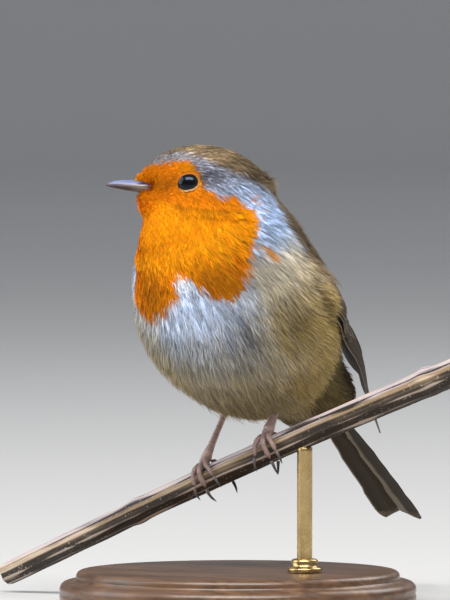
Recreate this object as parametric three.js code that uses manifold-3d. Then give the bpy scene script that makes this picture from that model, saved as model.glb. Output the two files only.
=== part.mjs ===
// European robin (Erithacus rubecula), life size, a still model on a display stand.
//
// Frame: millimetres, +Z up. The origin is the centre of the stand's underside.
// The robin's body faces -Y, its left side is +X, and its head is turned to its right.
// It grips a cut length of dry plant stem, which one rod holds above a turned base.

import * as THREE from "three";
import { mergeVertices } from "three/addons/utils/BufferGeometryUtils.js";
import Module from "manifold-3d";

const wasm = await Module();
wasm.setup();

// ---------- Driving dimensions ----------

const GAP = 0.3; // free space between neighbouring solids

const BASE = { radius: 42, height: 8, bevel: 1.2 };
const ROD = { radius: 1.8, at: 18 }; // at: distance along X from the centre
const COLLAR = { radius: 4.2, height: 3 };

const STEM = {
  height: 33.2, // of its axis above X = 0
  back: 1.5, // its place along Y
  slope: 0.4, // rise per length, up towards the robin's left
  from: -68,
  to: 62,
  thin: 2.75, // radius at its low end
  thick: 3.35, // radius at its high end
  ridges: 7,
};

const TRUNK_PITCH = 50; // degrees, the body's axis above the horizon
const HEAD_YAW = 47; // degrees, turned from -Y towards -X
const HEAD_CENTRE = new THREE.Vector3(-1.5, -9.3, 98.3);

const BILL = { root: 10.2, tip: 24.6, halfDepth: 1.6, halfWidth: 1.85 };
const EYE = { radius: 3.1, sunk: 2, forward: 6.3, up: 1.4 };
const WING = { halfWidth: 11, thick: 2.2, lift: -0.2 }; // lift: of its middle, off the plumage
const TAIL = { length: 55, fall: 40, rootHalf: 4.8, tipHalf: 8, thick: 0.7, notch: 2.4 };
const LEG = { apart: 9, shift: 0.4, tarsus: 25.5, lean: 37, ankle: 0.95, shank: 0.72 };
const TOE = { root: 0.82, end: 0.6 };
const CLAW = { root: 0.5, tip: 0.26 };

const RAD = Math.PI / 180;
const UP = new THREE.Vector3(0, 0, 1);

// ---------- Colours ----------

const OLIVE = 0x7a6a4a;
const ORANGE = 0xe8790f;
const WHITE = 0xc9cfd4;
const HORN = 0x6e6b72;
const EYE_BLACK = 0x07070a;
const WING_BROWN = 0x5e5140;
const LEG_BROWN = 0x8a6258;
const CLAW_GREY = 0x5a5560;
const STEM_BROWN = 0x6d5648;
const WOOD = 0x4a3a2e;
const BRASS = 0xa88a55;

// ---------- Geometry helpers ----------

// Moves each vertex of a geometry to where place() puts it.
function remap(geometry, place) {
  const position = geometry.getAttribute("position");
  const point = new THREE.Vector3();
  for (let i = 0; i < position.count; i++) {
    place(point.fromBufferAttribute(position, i));
    position.setXYZ(i, point.x, point.y, point.z);
  }
  return geometry;
}

function toSolid(geometry) {
  const bare = new THREE.BufferGeometry();
  bare.setAttribute("position", geometry.getAttribute("position"));
  bare.setIndex(geometry.index);
  const merged = mergeVertices(bare, 1e-4);
  return new wasm.Manifold(
    new wasm.Mesh({
      numProp: 3,
      vertProperties: merged.getAttribute("position").array,
      triVerts: new Uint32Array(merged.index.array),
    }),
  );
}

function toMesh(name, solid, colour, roughness = 0.85, metalness = 0) {
  const { numProp, vertProperties, triVerts } = solid.getMesh();
  const corners = new Float32Array((vertProperties.length / numProp) * 3);
  for (let i = 0; i < corners.length / 3; i++)
    corners.set(vertProperties.subarray(i * numProp, i * numProp + 3), i * 3);
  const geometry = new THREE.BufferGeometry();
  geometry.setAttribute("position", new THREE.BufferAttribute(corners, 3));
  geometry.setIndex(new THREE.BufferAttribute(triVerts, 1));
  geometry.computeVertexNormals();
  const material = new THREE.MeshStandardMaterial({ color: colour, roughness, metalness });
  const mesh = new THREE.Mesh(geometry, material);
  mesh.name = name;
  return mesh;
}

// A smooth curve through stations, and the same blend of any of their sizes.
function pathOf(stations) {
  return new THREE.CatmullRomCurve3(stations.map((s) => s.at));
}

function sizesOf(stations, keys) {
  const curves = keys.map(
    (key) => new THREE.CatmullRomCurve3(stations.map((s) => new THREE.Vector3(s[key], 0, 0))),
  );
  return (t) => curves.map((curve) => curve.getPoint(t).x);
}

// A closed solid along a path with flat ends. outline(t, angle) gives [across, out] from the path,
// where out is the side that faces reference, and across is to the right of the way along.
function sweep(path, along, around, reference, outline) {
  const tangent = new THREE.Vector3();
  const out = new THREE.Vector3();
  const side = new THREE.Vector3();
  return toSolid(
    remap(new THREE.CylinderGeometry(1, 1, 1, around, along), (p) => {
      const t = THREE.MathUtils.clamp(p.y + 0.5, 0, 1);
      const share = Math.hypot(p.x, p.z);
      const [across, lift] = outline(t, Math.atan2(p.z, p.x));
      path.getTangent(t, tangent);
      out.copy(reference).addScaledVector(tangent, -reference.dot(tangent)).normalize();
      side.crossVectors(tangent, out);
      path.getPoint(t, p);
      p.addScaledVector(side, share * across).addScaledVector(out, share * lift);
    }),
  );
}

// A round limb through stations with an at and a radius, grown by extra.
function limb(stations, along, around, reference = UP, extra = 0) {
  const radius = sizesOf(stations, ["radius"]);
  return sweep(pathOf(stations), along, around, reference, (t, angle) => {
    const r = radius(t)[0] + extra;
    return [r * Math.cos(angle), r * Math.sin(angle)];
  });
}

// The part of a solid on the side of a plane that normal points to, a distance clear of it.
function keepSide(solid, point, normal, clear) {
  const size = 300;
  const block = new THREE.BoxGeometry(size, size, size);
  block.applyQuaternion(new THREE.Quaternion().setFromUnitVectors(UP, normal));
  const middle = point.clone().addScaledVector(normal, size / 2 + clear);
  return solid.intersect(toSolid(block.translate(middle.x, middle.y, middle.z)));
}

const largest = (solid) => solid.decompose().sort((a, b) => b.volume() - a.volume())[0];

// ---------- The plumage's outer form, as one field ----------

const headForward = new THREE.Vector3(-Math.sin(HEAD_YAW * RAD), -Math.cos(HEAD_YAW * RAD), 0);
const headTurn = new THREE.Quaternion().setFromAxisAngle(UP, -HEAD_YAW * RAD);

// A point given in the head's frame: forward, to its left, and up.
function atHead(forward, left, up) {
  return new THREE.Vector3(left, -forward, up).applyQuaternion(headTurn).add(HEAD_CENTRE);
}

const pitched = (degrees) =>
  new THREE.Quaternion().setFromAxisAngle(new THREE.Vector3(1, 0, 0), -degrees * RAD);

// Each form is an ellipsoid: radii are to the side, along its length and through its depth.
// blend is how widely it melts into the forms before it.
const FORMS = [
  { centre: new THREE.Vector3(0, 0.8, 68.3), radii: [23.1, 25.9, 22.6], turn: pitched(TRUNK_PITCH), blend: 1 },
  { centre: new THREE.Vector3(0, -6, 76.5), radii: [21.7, 18.7, 17.4], turn: pitched(0), blend: 8 },
  { centre: new THREE.Vector3(0, 25, 53.5), radii: [12.5, 20, 9.5], turn: pitched(TAIL.fall), blend: 9 },
  { centre: new THREE.Vector3(-1, -6.8, 86.3), radii: [15.7, 15, 13.8], turn: pitched(0), blend: 9 },
  { centre: atHead(0.6, 0, -0.1), radii: [9.2, 13.1, 9.6], turn: headTurn, blend: 7 },
  { centre: atHead(7.1, 0, 0.4), radii: [5.4, 10.6, 7.4], turn: headTurn, blend: 5 },
  { centre: atHead(6.7, 0, -7.6), radii: [6, 5.8, 5.9], turn: headTurn, blend: 6 },
];

for (const form of FORMS) form.unturn = form.turn.clone().invert();

function distanceToForm({ centre, radii, unturn }, point) {
  const q = point.clone().sub(centre).applyQuaternion(unturn);
  const [a, b, c] = radii;
  const near = Math.hypot(q.x / a, q.y / b, q.z / c);
  const steep = Math.hypot(q.x / (a * a), q.y / (b * b), q.z / (c * c));
  return steep < 1e-9 ? -Math.min(a, b, c) : (near * (near - 1)) / steep;
}

function bodyDistance(point) {
  return FORMS.reduce((found, form) => {
    const d = distanceToForm(form, point);
    const overlap = Math.max(form.blend - Math.abs(found - d), 0) / form.blend;
    return Math.min(found, d) - (overlap * overlap * form.blend) / 4;
  }, 1e3);
}

function outwardAt(point) {
  const step = 0.05;
  const slope = (axis) => {
    const offset = new THREE.Vector3().setComponent(axis, step);
    return bodyDistance(point.clone().add(offset)) - bodyDistance(point.clone().sub(offset));
  };
  return new THREE.Vector3(slope(0), slope(1), slope(2)).normalize();
}

// Goes from a point inside the plumage towards another until it is lift clear of the surface.
function surfaceBeside(from, towards, lift = 0) {
  const way = towards.clone().sub(from).normalize();
  const spot = from.clone();
  for (let i = 0; i < 60; i++) spot.addScaledVector(way, lift - bodyDistance(spot));
  return spot;
}

// The form's surface, grown by extra, as seen from a point inside: a globe with its poles on axis.
function shrinkOnto(centre, axis, columns, rows, extra = 0) {
  const globe = new THREE.SphereGeometry(1, columns, rows);
  globe.applyQuaternion(new THREE.Quaternion().setFromUnitVectors(new THREE.Vector3(0, 1, 0), axis));
  const probe = new THREE.Vector3();
  return toSolid(
    remap(globe, (p) => {
      const depth = (r) => bodyDistance(probe.copy(centre).addScaledVector(p, r)) - extra;
      let inside = 0;
      let outside = 1;
      while (depth(outside) < 0) {
        inside = outside;
        outside += 1;
      }
      for (let i = 0; i < 22; i++) {
        const middle = (inside + outside) / 2;
        if (depth(middle) < 0) inside = middle;
        else outside = middle;
      }
      p.multiplyScalar(outside).add(centre);
    }),
  );
}

const trunkAxis = new THREE.Vector3(0, Math.cos(TRUNK_PITCH * RAD), -Math.sin(TRUNK_PITCH * RAD));
const trunkCentre = FORMS[0].centre;
const grownTrunk = shrinkOnto(trunkCentre, trunkAxis, 30, 24, GAP);

// Thin cuts part the plumage at the base of the neck and behind the jaw.
const NECK_CUT = {
  point: new THREE.Vector3(0, -5, 85),
  normal: new THREE.Vector3(-0.12, -0.3, 0.95).normalize(),
};
const HEAD_CUT = {
  point: atHead(0, 0, -6.6),
  normal: new THREE.Vector3().copy(headForward).multiplyScalar(0.38).add(UP).normalize(),
};

function makeTrunk() {
  const whole = shrinkOnto(trunkCentre, trunkAxis, 30, 24);
  return keepSide(whole, NECK_CUT.point, NECK_CUT.normal.clone().negate(), GAP / 2);
}

function makeNeck() {
  const centre = new THREE.Vector3(0, -6.5, 87.5);
  const whole = shrinkOnto(centre, UP, 28, 20);
  const below = keepSide(whole, HEAD_CUT.point, HEAD_CUT.normal.clone().negate(), GAP / 2);
  return keepSide(below, NECK_CUT.point, NECK_CUT.normal, GAP / 2);
}

// ---------- Bill ----------

// The bill's centre line runs from inside the face to its tip, arching a little.
const billStations = [
  { along: 0, up: 0, wide: 1.55, high: 0.55 },
  { along: 0.25, up: 0.1, wide: 1.35, high: 0.85 },
  { along: 0.5, up: 0.35, wide: 1.0, high: 1.0 },
  { along: 0.64, up: 0.6, wide: 0.8, high: 0.86 },
  { along: 0.79, up: 0.85, wide: 0.58, high: 0.66 },
  { along: 0.92, up: 0.85, wide: 0.32, high: 0.38 },
  { along: 1, up: 0.62, wide: 0.16, high: 0.24 },
].map(({ along, up, wide, high }) => ({
  at: atHead(THREE.MathUtils.lerp(BILL.root, BILL.tip, along), 0, up),
  wide: wide * BILL.halfWidth,
  high: high * BILL.halfDepth,
}));
const billSizes = sizesOf(billStations, ["wide", "high"]);

// The bill's outline at t along it, grown by extra.
function billOutline(t, angle, extra) {
  const [wide, high] = billSizes(t);
  const keel = 1 - 0.18 * Math.abs(Math.cos(angle));
  const lift = Math.sin(angle) * high * (Math.sin(angle) > 0 ? 1.1 : 0.9);
  return [(wide * keel + extra) * Math.cos(angle), lift + extra * Math.sin(angle)];
}

const makeBill = (extra) =>
  sweep(pathOf(billStations), 10, 12, UP, (t, angle) => billOutline(t, angle, extra));

// One mandible: side is 1 for the upper and -1 for the lower; both are flat where they meet.
function makeMandible(side) {
  return sweep(pathOf(billStations), 10, 14, UP, (t, angle) => {
    const [across, lift] = billOutline(t, angle, 0);
    return [across, side * Math.max(side * lift, GAP / 2)];
  });
}

// ---------- Head and eyes ----------

// The eye's centre lies a set depth below the plumage, square to it.
function eyeCentre(side) {
  const spot = surfaceBeside(atHead(EYE.forward, 0, EYE.up), atHead(EYE.forward, side, EYE.up));
  return spot.addScaledVector(outwardAt(spot), -EYE.sunk);
}

function makeEyeball(side, extra = 0) {
  const ball = new THREE.SphereGeometry(EYE.radius + extra, 14, 10);
  const { x, y, z } = eyeCentre(side);
  return toSolid(ball.translate(x, y, z));
}

function makeHead() {
  const whole = shrinkOnto(atHead(0.5, 0, 0), headForward, 28, 22);
  const above = keepSide(whole, HEAD_CUT.point, HEAD_CUT.normal, GAP / 2);
  return above
    .subtract(makeEyeball(1, GAP))
    .subtract(makeEyeball(-1, GAP))
    .subtract(makeBill(GAP));
}

// ---------- Wings ----------

// A folded wing: a bent blade that lies over the side of the back and runs out past the rump. Its
// front half lies on the plumage; out is how far its free half stands from the middle plane.
function makeWing(side) {
  const stations = [
    { y: -4.5, z: 85.5, out: 0, half: 0.25, bend: 18, thick: 0.45 },
    { y: 1, z: 82.3, out: 0, half: 0.7, bend: 21, thick: 0.8 },
    { y: 8.5, z: 76.3, out: 0, half: 0.97, bend: 22, thick: 1 },
    { y: 17.5, z: 69, out: 0, half: 1.03, bend: 20, thick: 0.95 },
    { y: 28, z: 60.5, out: 15.1, half: 0.95, bend: 16, thick: 0.7 },
    { y: 38, z: 52, out: 11.4, half: 0.7, bend: 16, thick: 0.45 },
    { y: 48, z: 43, out: 8.2, half: 0.36, bend: 24, thick: 0.33 },
    { y: 53, z: 38.5, out: 6.8, half: 0.08, bend: 30, thick: 0.28 },
  ].map(({ y, z, out, ...sizes }) => {
    const middle = new THREE.Vector3(0, y, z);
    const free = new THREE.Vector3(side * out, y, z);
    const onBody = surfaceBeside(middle, new THREE.Vector3(side, y, z), WING.lift);
    return { at: out > 0 ? free : onBody, ...sizes };
  });
  const sizes = sizesOf(stations, ["half", "bend", "thick"]);
  const outward = new THREE.Vector3(side * 0.68, 0.4, 0.6).normalize();
  const blade = sweep(pathOf(stations), 22, 14, outward, (t, angle) => {
    const [half, bend, thick] = sizes(t);
    const turn = (half * WING.halfWidth * Math.cos(angle)) / bend;
    const shell = bend + thick * WING.thick * Math.sin(angle);
    return [shell * Math.sin(turn), shell * Math.cos(turn) - bend];
  });
  return largest(blade.subtract(grownTrunk));
}

// ---------- Tail ----------

const tailRoot = new THREE.Vector3(0, 28, 52.5);
const tailWay = new THREE.Vector3(0, Math.cos(TAIL.fall * RAD), -Math.sin(TAIL.fall * RAD));

// The closed tail: a shallow roof of stacked feathers with a notched end.
function makeTail() {
  const stations = [0, 0.3, 0.65, 1].map((share) => ({
    at: tailRoot.clone().addScaledVector(tailWay, share * TAIL.length),
    half: THREE.MathUtils.lerp(TAIL.rootHalf, TAIL.tipHalf, share),
  }));
  const sizes = sizesOf(stations, ["half"]);
  const blade = sweep(pathOf(stations), 10, 14, UP, (t, angle) => {
    const across = sizes(t)[0] * Math.cos(angle);
    const fall = (across * across) / 60;
    return [across, TAIL.thick * Math.sin(angle) - fall];
  });
  const wedge = new THREE.Shape();
  wedge.moveTo(0, -TAIL.notch).lineTo(TAIL.tipHalf * 2, TAIL.notch).lineTo(-TAIL.tipHalf * 2, TAIL.notch);
  const notch = new THREE.ExtrudeGeometry(wedge, { depth: 20, bevelEnabled: false });
  const tip = tailRoot.clone().addScaledVector(tailWay, TAIL.length);
  notch.translate(0, 0, -10).rotateX(-TAIL.fall * RAD).translate(tip.x, tip.y, tip.z);
  return blade.subtract(toSolid(notch)).subtract(grownTrunk);
}

// ---------- Stem ----------

const stemWay = new THREE.Vector3(1, 0, STEM.slope).normalize();
const stemUp = new THREE.Vector3(-STEM.slope, 0, 1).normalize();
const FRONT = new THREE.Vector3(0, -1, 0);

const stemShare = (x) => (x - STEM.from) / (STEM.to - STEM.from);
const stemRadius = (x) => THREE.MathUtils.lerp(STEM.thin, STEM.thick, stemShare(x));
// The stem bows a little between its ends.
const stemBow = (x) => 1.3 * Math.cos(((x - 2) / 65) * Math.PI * 0.5) - 1.3;

function onStemAxis(x) {
  return new THREE.Vector3(x, STEM.back, STEM.height + x * STEM.slope + stemBow(x));
}

function makeStem(extra = 0) {
  const stations = [];
  for (let i = 0; i <= 8; i++) {
    const x = THREE.MathUtils.lerp(STEM.from, STEM.to, i / 8);
    stations.push({ at: onStemAxis(x), radius: stemRadius(x) });
  }
  const radius = sizesOf(stations, ["radius"]);
  return sweep(pathOf(stations), 13, 21, UP, (t, angle) => {
    const ridge = 1 - 0.055 * (1 + Math.cos(STEM.ridges * angle)) * 0.5;
    const r = radius(t)[0] * ridge + extra;
    return [r * Math.cos(angle), r * Math.sin(angle)];
  });
}

// ---------- Legs and feet ----------

// A point beside the stem: along it from x, turned from its top towards the front, and out from its axis.
function besideStem(x, along, degrees, out) {
  return onStemAxis(x)
    .addScaledVector(stemWay, along)
    .addScaledVector(stemUp, out * Math.cos(degrees * RAD))
    .addScaledVector(FRONT, out * Math.sin(degrees * RAD));
}

// Where each toe runs: spread along the stem (outwards from the body), and turn round it. The
// middle toe is the longest. A negative turn goes back over the stem, as the hind toe does.
const TOES = [
  { name: "hind", spread: [0, -1.4, -2.6], turns: [-22, -72, -118], claw: [-3.4, -152, 2.2], size: 1.05 },
  { name: "inner", spread: [-0.6, -2.2, -3.3], turns: [26, 62, 100], claw: [-4.2, 138, 1.4], size: 0.9 },
  { name: "middle", spread: [0, 0.2, 0.3], turns: [26, 74, 128], claw: [-0.3, 166, 2.4], size: 1 },
  { name: "outer", spread: [0.6, 2.1, 2.9], turns: [26, 66, 112], claw: [2.9, 146, 1.6], size: 0.88 },
];

const footPlace = (side) => side * LEG.apart + LEG.shift;

function footCentre(side) {
  const x = footPlace(side);
  return besideStem(x, 0, -2, stemRadius(x) + GAP + 1.35);
}

function toeStations(side, toe) {
  const x = footPlace(side);
  return toe.turns.map((turn, i) => {
    const share = i / (toe.turns.length - 1);
    const radius = THREE.MathUtils.lerp(TOE.root, TOE.end, share) * toe.size;
    const lift = stemRadius(x) * 1.02 + GAP + TOE.root * toe.size + 0.12;
    return { at: besideStem(x, side * toe.spread[i], turn, lift), radius };
  });
}

// Three joint pads swell a toe along its length.
function makeToe(side, toe, extra = 0) {
  const stations = toeStations(side, toe);
  const radius = sizesOf(stations, ["radius"]);
  const round = (t) => Math.sqrt(1 - Math.pow(Math.abs(2 * t - 1), 9)) * 0.75 + 0.25;
  return sweep(pathOf(stations), 8, 7, FRONT, (t, angle) => {
    const pad = 1 + 0.12 * Math.cos(t * Math.PI * 5);
    const r = radius(t)[0] * pad * round(t) + extra;
    return [r * Math.cos(angle), r * Math.sin(angle)];
  });
}

function makeClaw(side, toe) {
  const x = footPlace(side);
  const stations = toeStations(side, toe);
  const end = stations[stations.length - 1].at;
  const before = stations[stations.length - 2].at;
  const way = end.clone().sub(before).normalize();
  const [along, turn, away] = toe.claw;
  const tip = besideStem(x, side * along, turn, stemRadius(x) + GAP + TOE.root + away);
  const start = end.clone().addScaledVector(way, GAP + 0.1);
  const bent = start.clone().addScaledVector(way, start.distanceTo(tip) * 0.5);
  const curve = new THREE.QuadraticBezierCurve3(start, bent, tip);
  const claw = [0, 0.35, 0.7, 1].map((t) => ({
    at: curve.getPoint(t),
    radius: THREE.MathUtils.lerp(CLAW.root, CLAW.tip, t) * toe.size,
  }));
  return limb(claw, 5, 6, new THREE.Vector3(1, 0.2, 0));
}

const tarsusWay = new THREE.Vector3(0, Math.sin(LEG.lean * RAD), Math.cos(LEG.lean * RAD));

// The shank rises from the foot's pad and runs up into the belly plumage.
function makeTarsus(side, extra = 0) {
  const foot = footCentre(side);
  const stations = [
    { share: -0.045, radius: 0.55 },
    { share: 0.0, radius: LEG.ankle * 1.3 },
    { share: 0.07, radius: LEG.ankle },
    { share: 0.2, radius: LEG.shank },
    { share: 0.6, radius: LEG.shank },
    { share: 1, radius: LEG.ankle },
  ].map(({ share, radius }) => ({
    at: foot.clone().addScaledVector(tarsusWay, share * LEG.tarsus),
    radius,
  }));
  return limb(stations, 12, 8, FRONT, extra);
}

function makeLeg(side) {
  const label = side > 0 ? "left" : "right";
  const tarsus = makeTarsus(side).subtract(grownTrunk).subtract(makeStem(GAP));
  const meshes = [toMesh(`tarsus_${label}`, tarsus, LEG_BROWN, 0.55)];
  let taken = makeTarsus(side, GAP).add(makeStem(GAP));
  for (const toe of [TOES[2], TOES[0], TOES[1], TOES[3]]) {
    const free = largest(makeToe(side, toe).subtract(taken));
    meshes.push(toMesh(`toe_${toe.name}_${label}`, free, LEG_BROWN, 0.55));
    taken = taken.add(makeToe(side, toe, GAP));
    meshes.push(toMesh(`claw_${toe.name}_${label}`, makeClaw(side, toe), CLAW_GREY, 0.35));
  }
  return meshes;
}

// ---------- Stand ----------

function lathe(profile, segments) {
  const geometry = new THREE.LatheGeometry(profile.map(([r, z]) => new THREE.Vector2(r, z)), segments);
  return toSolid(geometry.rotateX(Math.PI / 2));
}

function makeBase() {
  const { radius, height, bevel } = BASE;
  const seat = new THREE.CylinderGeometry(ROD.radius + GAP, ROD.radius + GAP, height, 24);
  seat.rotateX(Math.PI / 2).translate(ROD.at, STEM.back, height / 2 + 3);
  const disc = lathe(
    [
      [0, 0],
      [radius - 0.6, 0],
      [radius, 0.6],
      [radius, height * 0.45],
      [radius - bevel * 1.6, height * 0.62],
      [radius - bevel * 2.2, height - 0.4],
      [radius - bevel * 2.6, height],
      [0, height],
    ],
    40,
  );
  return disc.subtract(toSolid(seat));
}

function makeCollar() {
  const inner = ROD.radius + GAP;
  const floor = BASE.height + GAP;
  const ring = lathe(
    [
      [inner, floor],
      [COLLAR.radius, floor],
      [COLLAR.radius, floor + COLLAR.height * 0.5],
      [COLLAR.radius * 0.72, floor + COLLAR.height],
      [inner, floor + COLLAR.height],
      [inner, floor],
    ],
    20,
  );
  return ring.translate([ROD.at, STEM.back, 0]);
}

// The rod's foot stands in the base's seat, and its top is hollowed to the stem.
function makeRod() {
  const foot = 3 + GAP;
  const top = onStemAxis(ROD.at).z;
  const rod = new THREE.CylinderGeometry(ROD.radius, ROD.radius, top - foot, 24);
  rod.rotateX(Math.PI / 2).translate(ROD.at, STEM.back, (top + foot) / 2);
  return toSolid(rod).subtract(makeStem(GAP));
}

// ---------- Assembly ----------

const robin = new THREE.Group();
robin.add(
  toMesh("head", makeHead(), OLIVE),
  toMesh("neck", makeNeck(), ORANGE),
  toMesh("trunk", makeTrunk(), WHITE),
  toMesh("bill_upper", makeMandible(1), HORN, 0.35),
  toMesh("bill_lower", makeMandible(-1), HORN, 0.35),
  toMesh("eye_left", makeEyeball(1), EYE_BLACK, 0.05),
  toMesh("eye_right", makeEyeball(-1), EYE_BLACK, 0.05),
  toMesh("wing_left", makeWing(1), WING_BROWN),
  toMesh("wing_right", makeWing(-1), WING_BROWN),
  toMesh("tail", makeTail(), WING_BROWN),
  ...makeLeg(1),
  ...makeLeg(-1),
);

const stand = new THREE.Group();
stand.add(
  toMesh("perch", makeStem(), STEM_BROWN),
  toMesh("stand_base", makeBase(), WOOD, 0.5),
  toMesh("stand_collar", makeCollar(), BRASS, 0.35, 0.9),
  toMesh("stand_rod", makeRod(), BRASS, 0.35, 0.9),
);

const model = new THREE.Group();
model.add(robin, stand);

export default model;
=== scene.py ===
"""A still, life-size european robin that grips a cut stem on a display stand."""

import functools
import math

import bpy
import numpy as np
from bpy.props import FloatProperty, FloatVectorProperty, IntProperty, PointerProperty
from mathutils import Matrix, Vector
from mathutils.bvhtree import BVHTree


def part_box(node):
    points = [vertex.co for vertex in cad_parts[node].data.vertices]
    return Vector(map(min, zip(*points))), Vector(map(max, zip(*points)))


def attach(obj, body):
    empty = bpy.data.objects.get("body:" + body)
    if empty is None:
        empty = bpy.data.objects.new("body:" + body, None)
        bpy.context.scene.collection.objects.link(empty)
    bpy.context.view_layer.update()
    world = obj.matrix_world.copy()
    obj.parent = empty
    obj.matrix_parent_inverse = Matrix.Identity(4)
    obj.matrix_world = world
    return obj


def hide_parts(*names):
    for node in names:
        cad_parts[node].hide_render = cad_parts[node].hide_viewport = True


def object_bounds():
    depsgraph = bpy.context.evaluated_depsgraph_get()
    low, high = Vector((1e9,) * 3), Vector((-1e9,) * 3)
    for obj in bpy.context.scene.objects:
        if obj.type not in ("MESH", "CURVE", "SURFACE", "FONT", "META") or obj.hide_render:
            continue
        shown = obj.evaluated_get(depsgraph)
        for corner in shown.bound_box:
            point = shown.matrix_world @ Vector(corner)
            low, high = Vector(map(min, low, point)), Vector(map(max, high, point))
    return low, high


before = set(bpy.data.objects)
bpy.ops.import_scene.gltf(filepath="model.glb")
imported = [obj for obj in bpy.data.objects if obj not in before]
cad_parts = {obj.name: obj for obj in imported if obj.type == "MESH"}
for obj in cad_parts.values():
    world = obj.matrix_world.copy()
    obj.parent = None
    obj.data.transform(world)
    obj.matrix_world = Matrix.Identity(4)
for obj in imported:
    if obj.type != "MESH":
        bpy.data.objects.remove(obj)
CAD_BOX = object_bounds()

bl_info = {
    "name": "European Robin",
    "version": (1, 0, 0),
    "blender": (4, 5, 0),
    "location": "View3D > Sidebar > Robin",
    "description": "Dresses the robin's frame in skin, plumage, flight feathers and bare parts",
    "category": "Object",
}

MM = 0.001  # metres in a millimetre; lengths inside the makers below are in millimetres
UP = np.array([0.0, 0.0, 1.0])
SIDES = {"left": 1, "right": -1}


# ---------- Small maths ----------


def unit(vectors):
    lengths = np.linalg.norm(vectors, axis=-1, keepdims=True)
    return vectors / np.maximum(lengths, 1e-12)


def ease(value, low, high):
    """0 below low and 1 above high, with a smooth turn between."""
    share = np.clip((value - low) / (high - low), 0.0, 1.0)
    return share * share * (3.0 - 2.0 * share)


def lerp(start, end, share):
    return start + (end - start) * share


def towards(axis, way):
    """The axis, turned round if it points away from the way given."""
    return axis if axis @ way > 0 else -axis


def circle(count):
    return np.arange(count) / count * 2 * np.pi


def band(value, middle, reach):
    """1 at the middle, fading smoothly to both sides."""
    return np.exp(-(((value - middle) / reach) ** 2))


def patch(way, turn, middle, reach):
    """1 at the middle, fading smoothly over the reach along and round the body."""
    return np.exp(-(((way - middle[0]) / reach[0]) ** 2) - ((turn - middle[1]) / reach[1]) ** 2)


def channels(*values):
    return np.stack(np.broadcast_arrays(*values), -1)


def sample(field, rows, columns, down, over):
    """A grid's field between two of its rows and two of its columns."""
    if field.ndim == 3:
        down, over = down[..., None], over[..., None]
    upper, lower = (lerp(field[row, columns[0]], field[row, columns[1]], over) for row in rows)
    return lerp(upper, lower, down)


def through(stations, count):
    """A smooth curve through rows of numbers, as count rows spread evenly from the first to the last."""
    rows = np.asarray(stations, dtype=float)
    padded = np.vstack([2 * rows[0] - rows[1], rows, 2 * rows[-1] - rows[-2]])
    place = np.linspace(0, len(rows) - 1, count)
    index = np.minimum(place.astype(int), len(rows) - 2)
    t = (place - index)[:, None]
    a, b, c, d = (padded[index + k] for k in range(4))
    return b + 0.5 * t * (c - a + t * (2 * a - 5 * b + 4 * c - d + t * (3 * (b - c) + d - a)))


def ripple(places, size, seed):
    """Smooth, repeatable unevenness about 0 at places in space, in lumps of about the size given."""
    rng = np.random.default_rng(seed)
    total = np.zeros(places.shape[:-1])
    waves = 7
    for _ in range(waves):
        way = unit(rng.normal(size=places.shape[-1]))
        total += np.sin(places @ way * (2 * np.pi / size) * rng.uniform(0.6, 1.5) + rng.uniform(0, 2 * np.pi))
    return total / math.sqrt(waves)


# ---------- Reading the frame ----------


def solid(*names):
    """The corners, in millimetres, and the triangles of frame nodes taken together."""
    corners, triangles, start = [], [], 0
    for name in names:
        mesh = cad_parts[name].data
        points = np.empty(len(mesh.vertices) * 3)
        mesh.vertices.foreach_get("co", points)
        mesh.calc_loop_triangles()
        faces = np.empty(len(mesh.loop_triangles) * 3, dtype=np.int32)
        mesh.loop_triangles.foreach_get("vertices", faces)
        corners.append(points.reshape(-1, 3) / MM)
        triangles.append(faces.reshape(-1, 3) + start)
        start += len(mesh.vertices)
    return np.concatenate(corners), np.concatenate(triangles)


def tree_of(*names):
    corners, triangles = solid(*names)
    return BVHTree.FromPolygons(corners.tolist(), triangles.tolist())


def extent(name):
    low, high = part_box(name)
    return np.array(low) / MM, np.array(high) / MM


def middle(name):
    low, high = extent(name)
    return (low + high) / 2


def cut(corners, triangles, measure, level):
    """The ends of the lines where a solid's surface stands at one level of a measure of its corners."""
    over = (measure - level)[triangles]
    starts, ends = [], []
    for i, j, k in ((0, 1, 2), (1, 2, 0), (2, 0, 1)):
        alone = (over[:, i] > 0) != (over[:, j] > 0)
        alone &= (over[:, j] > 0) == (over[:, k] > 0)
        tip, left, right = (corners[triangles[alone, n]] for n in (i, j, k))
        at = over[alone]
        starts.append(lerp(tip, left, (at[:, i] / (at[:, i] - at[:, j]))[:, None]))
        ends.append(lerp(tip, right, (at[:, i] / (at[:, i] - at[:, k]))[:, None]))
    return np.concatenate(starts), np.concatenate(ends)


def centreline(name, measure, count, inset=0.02):
    """The middles and the mean radii of a limb's cuts at evenly spaced levels of measure(corners)."""
    corners, triangles = solid(name)
    values = measure(corners)
    low, high = values.min(), values.max()
    middles, radii = [], []
    for level in np.linspace(lerp(low, high, inset), lerp(low, high, 1 - inset), count):
        starts, ends = cut(corners, triangles, values, level)
        weight = np.linalg.norm(ends - starts, axis=1) + 1e-9
        mids = (starts + ends) / 2
        centre = (mids * weight[:, None]).sum(0) / weight.sum()
        middles.append(centre)
        radii.append((np.linalg.norm(mids - centre, axis=1) * weight).sum() / weight.sum())
    return np.array(middles), np.array(radii)


# ---------- Making meshes ----------


def inner_part(mask):
    """The places of a grid's mask whose four neighbours are all in it."""
    inner = mask.copy()
    for axis in (0, 1):
        inner &= np.roll(mask, 1, axis) & np.roll(mask, -1, axis)
    return inner


def grid_faces(rows, columns, closed):
    """The four-cornered faces of a grid of corners, joined round its columns when closed."""
    index = np.arange(rows * columns).reshape(rows, columns)
    if closed:
        index = np.hstack([index, index[:, :1]])
    return np.stack([index[:-1, :-1], index[:-1, 1:], index[1:, 1:], index[1:, :-1]], -1).reshape(-1, 4)


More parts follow.
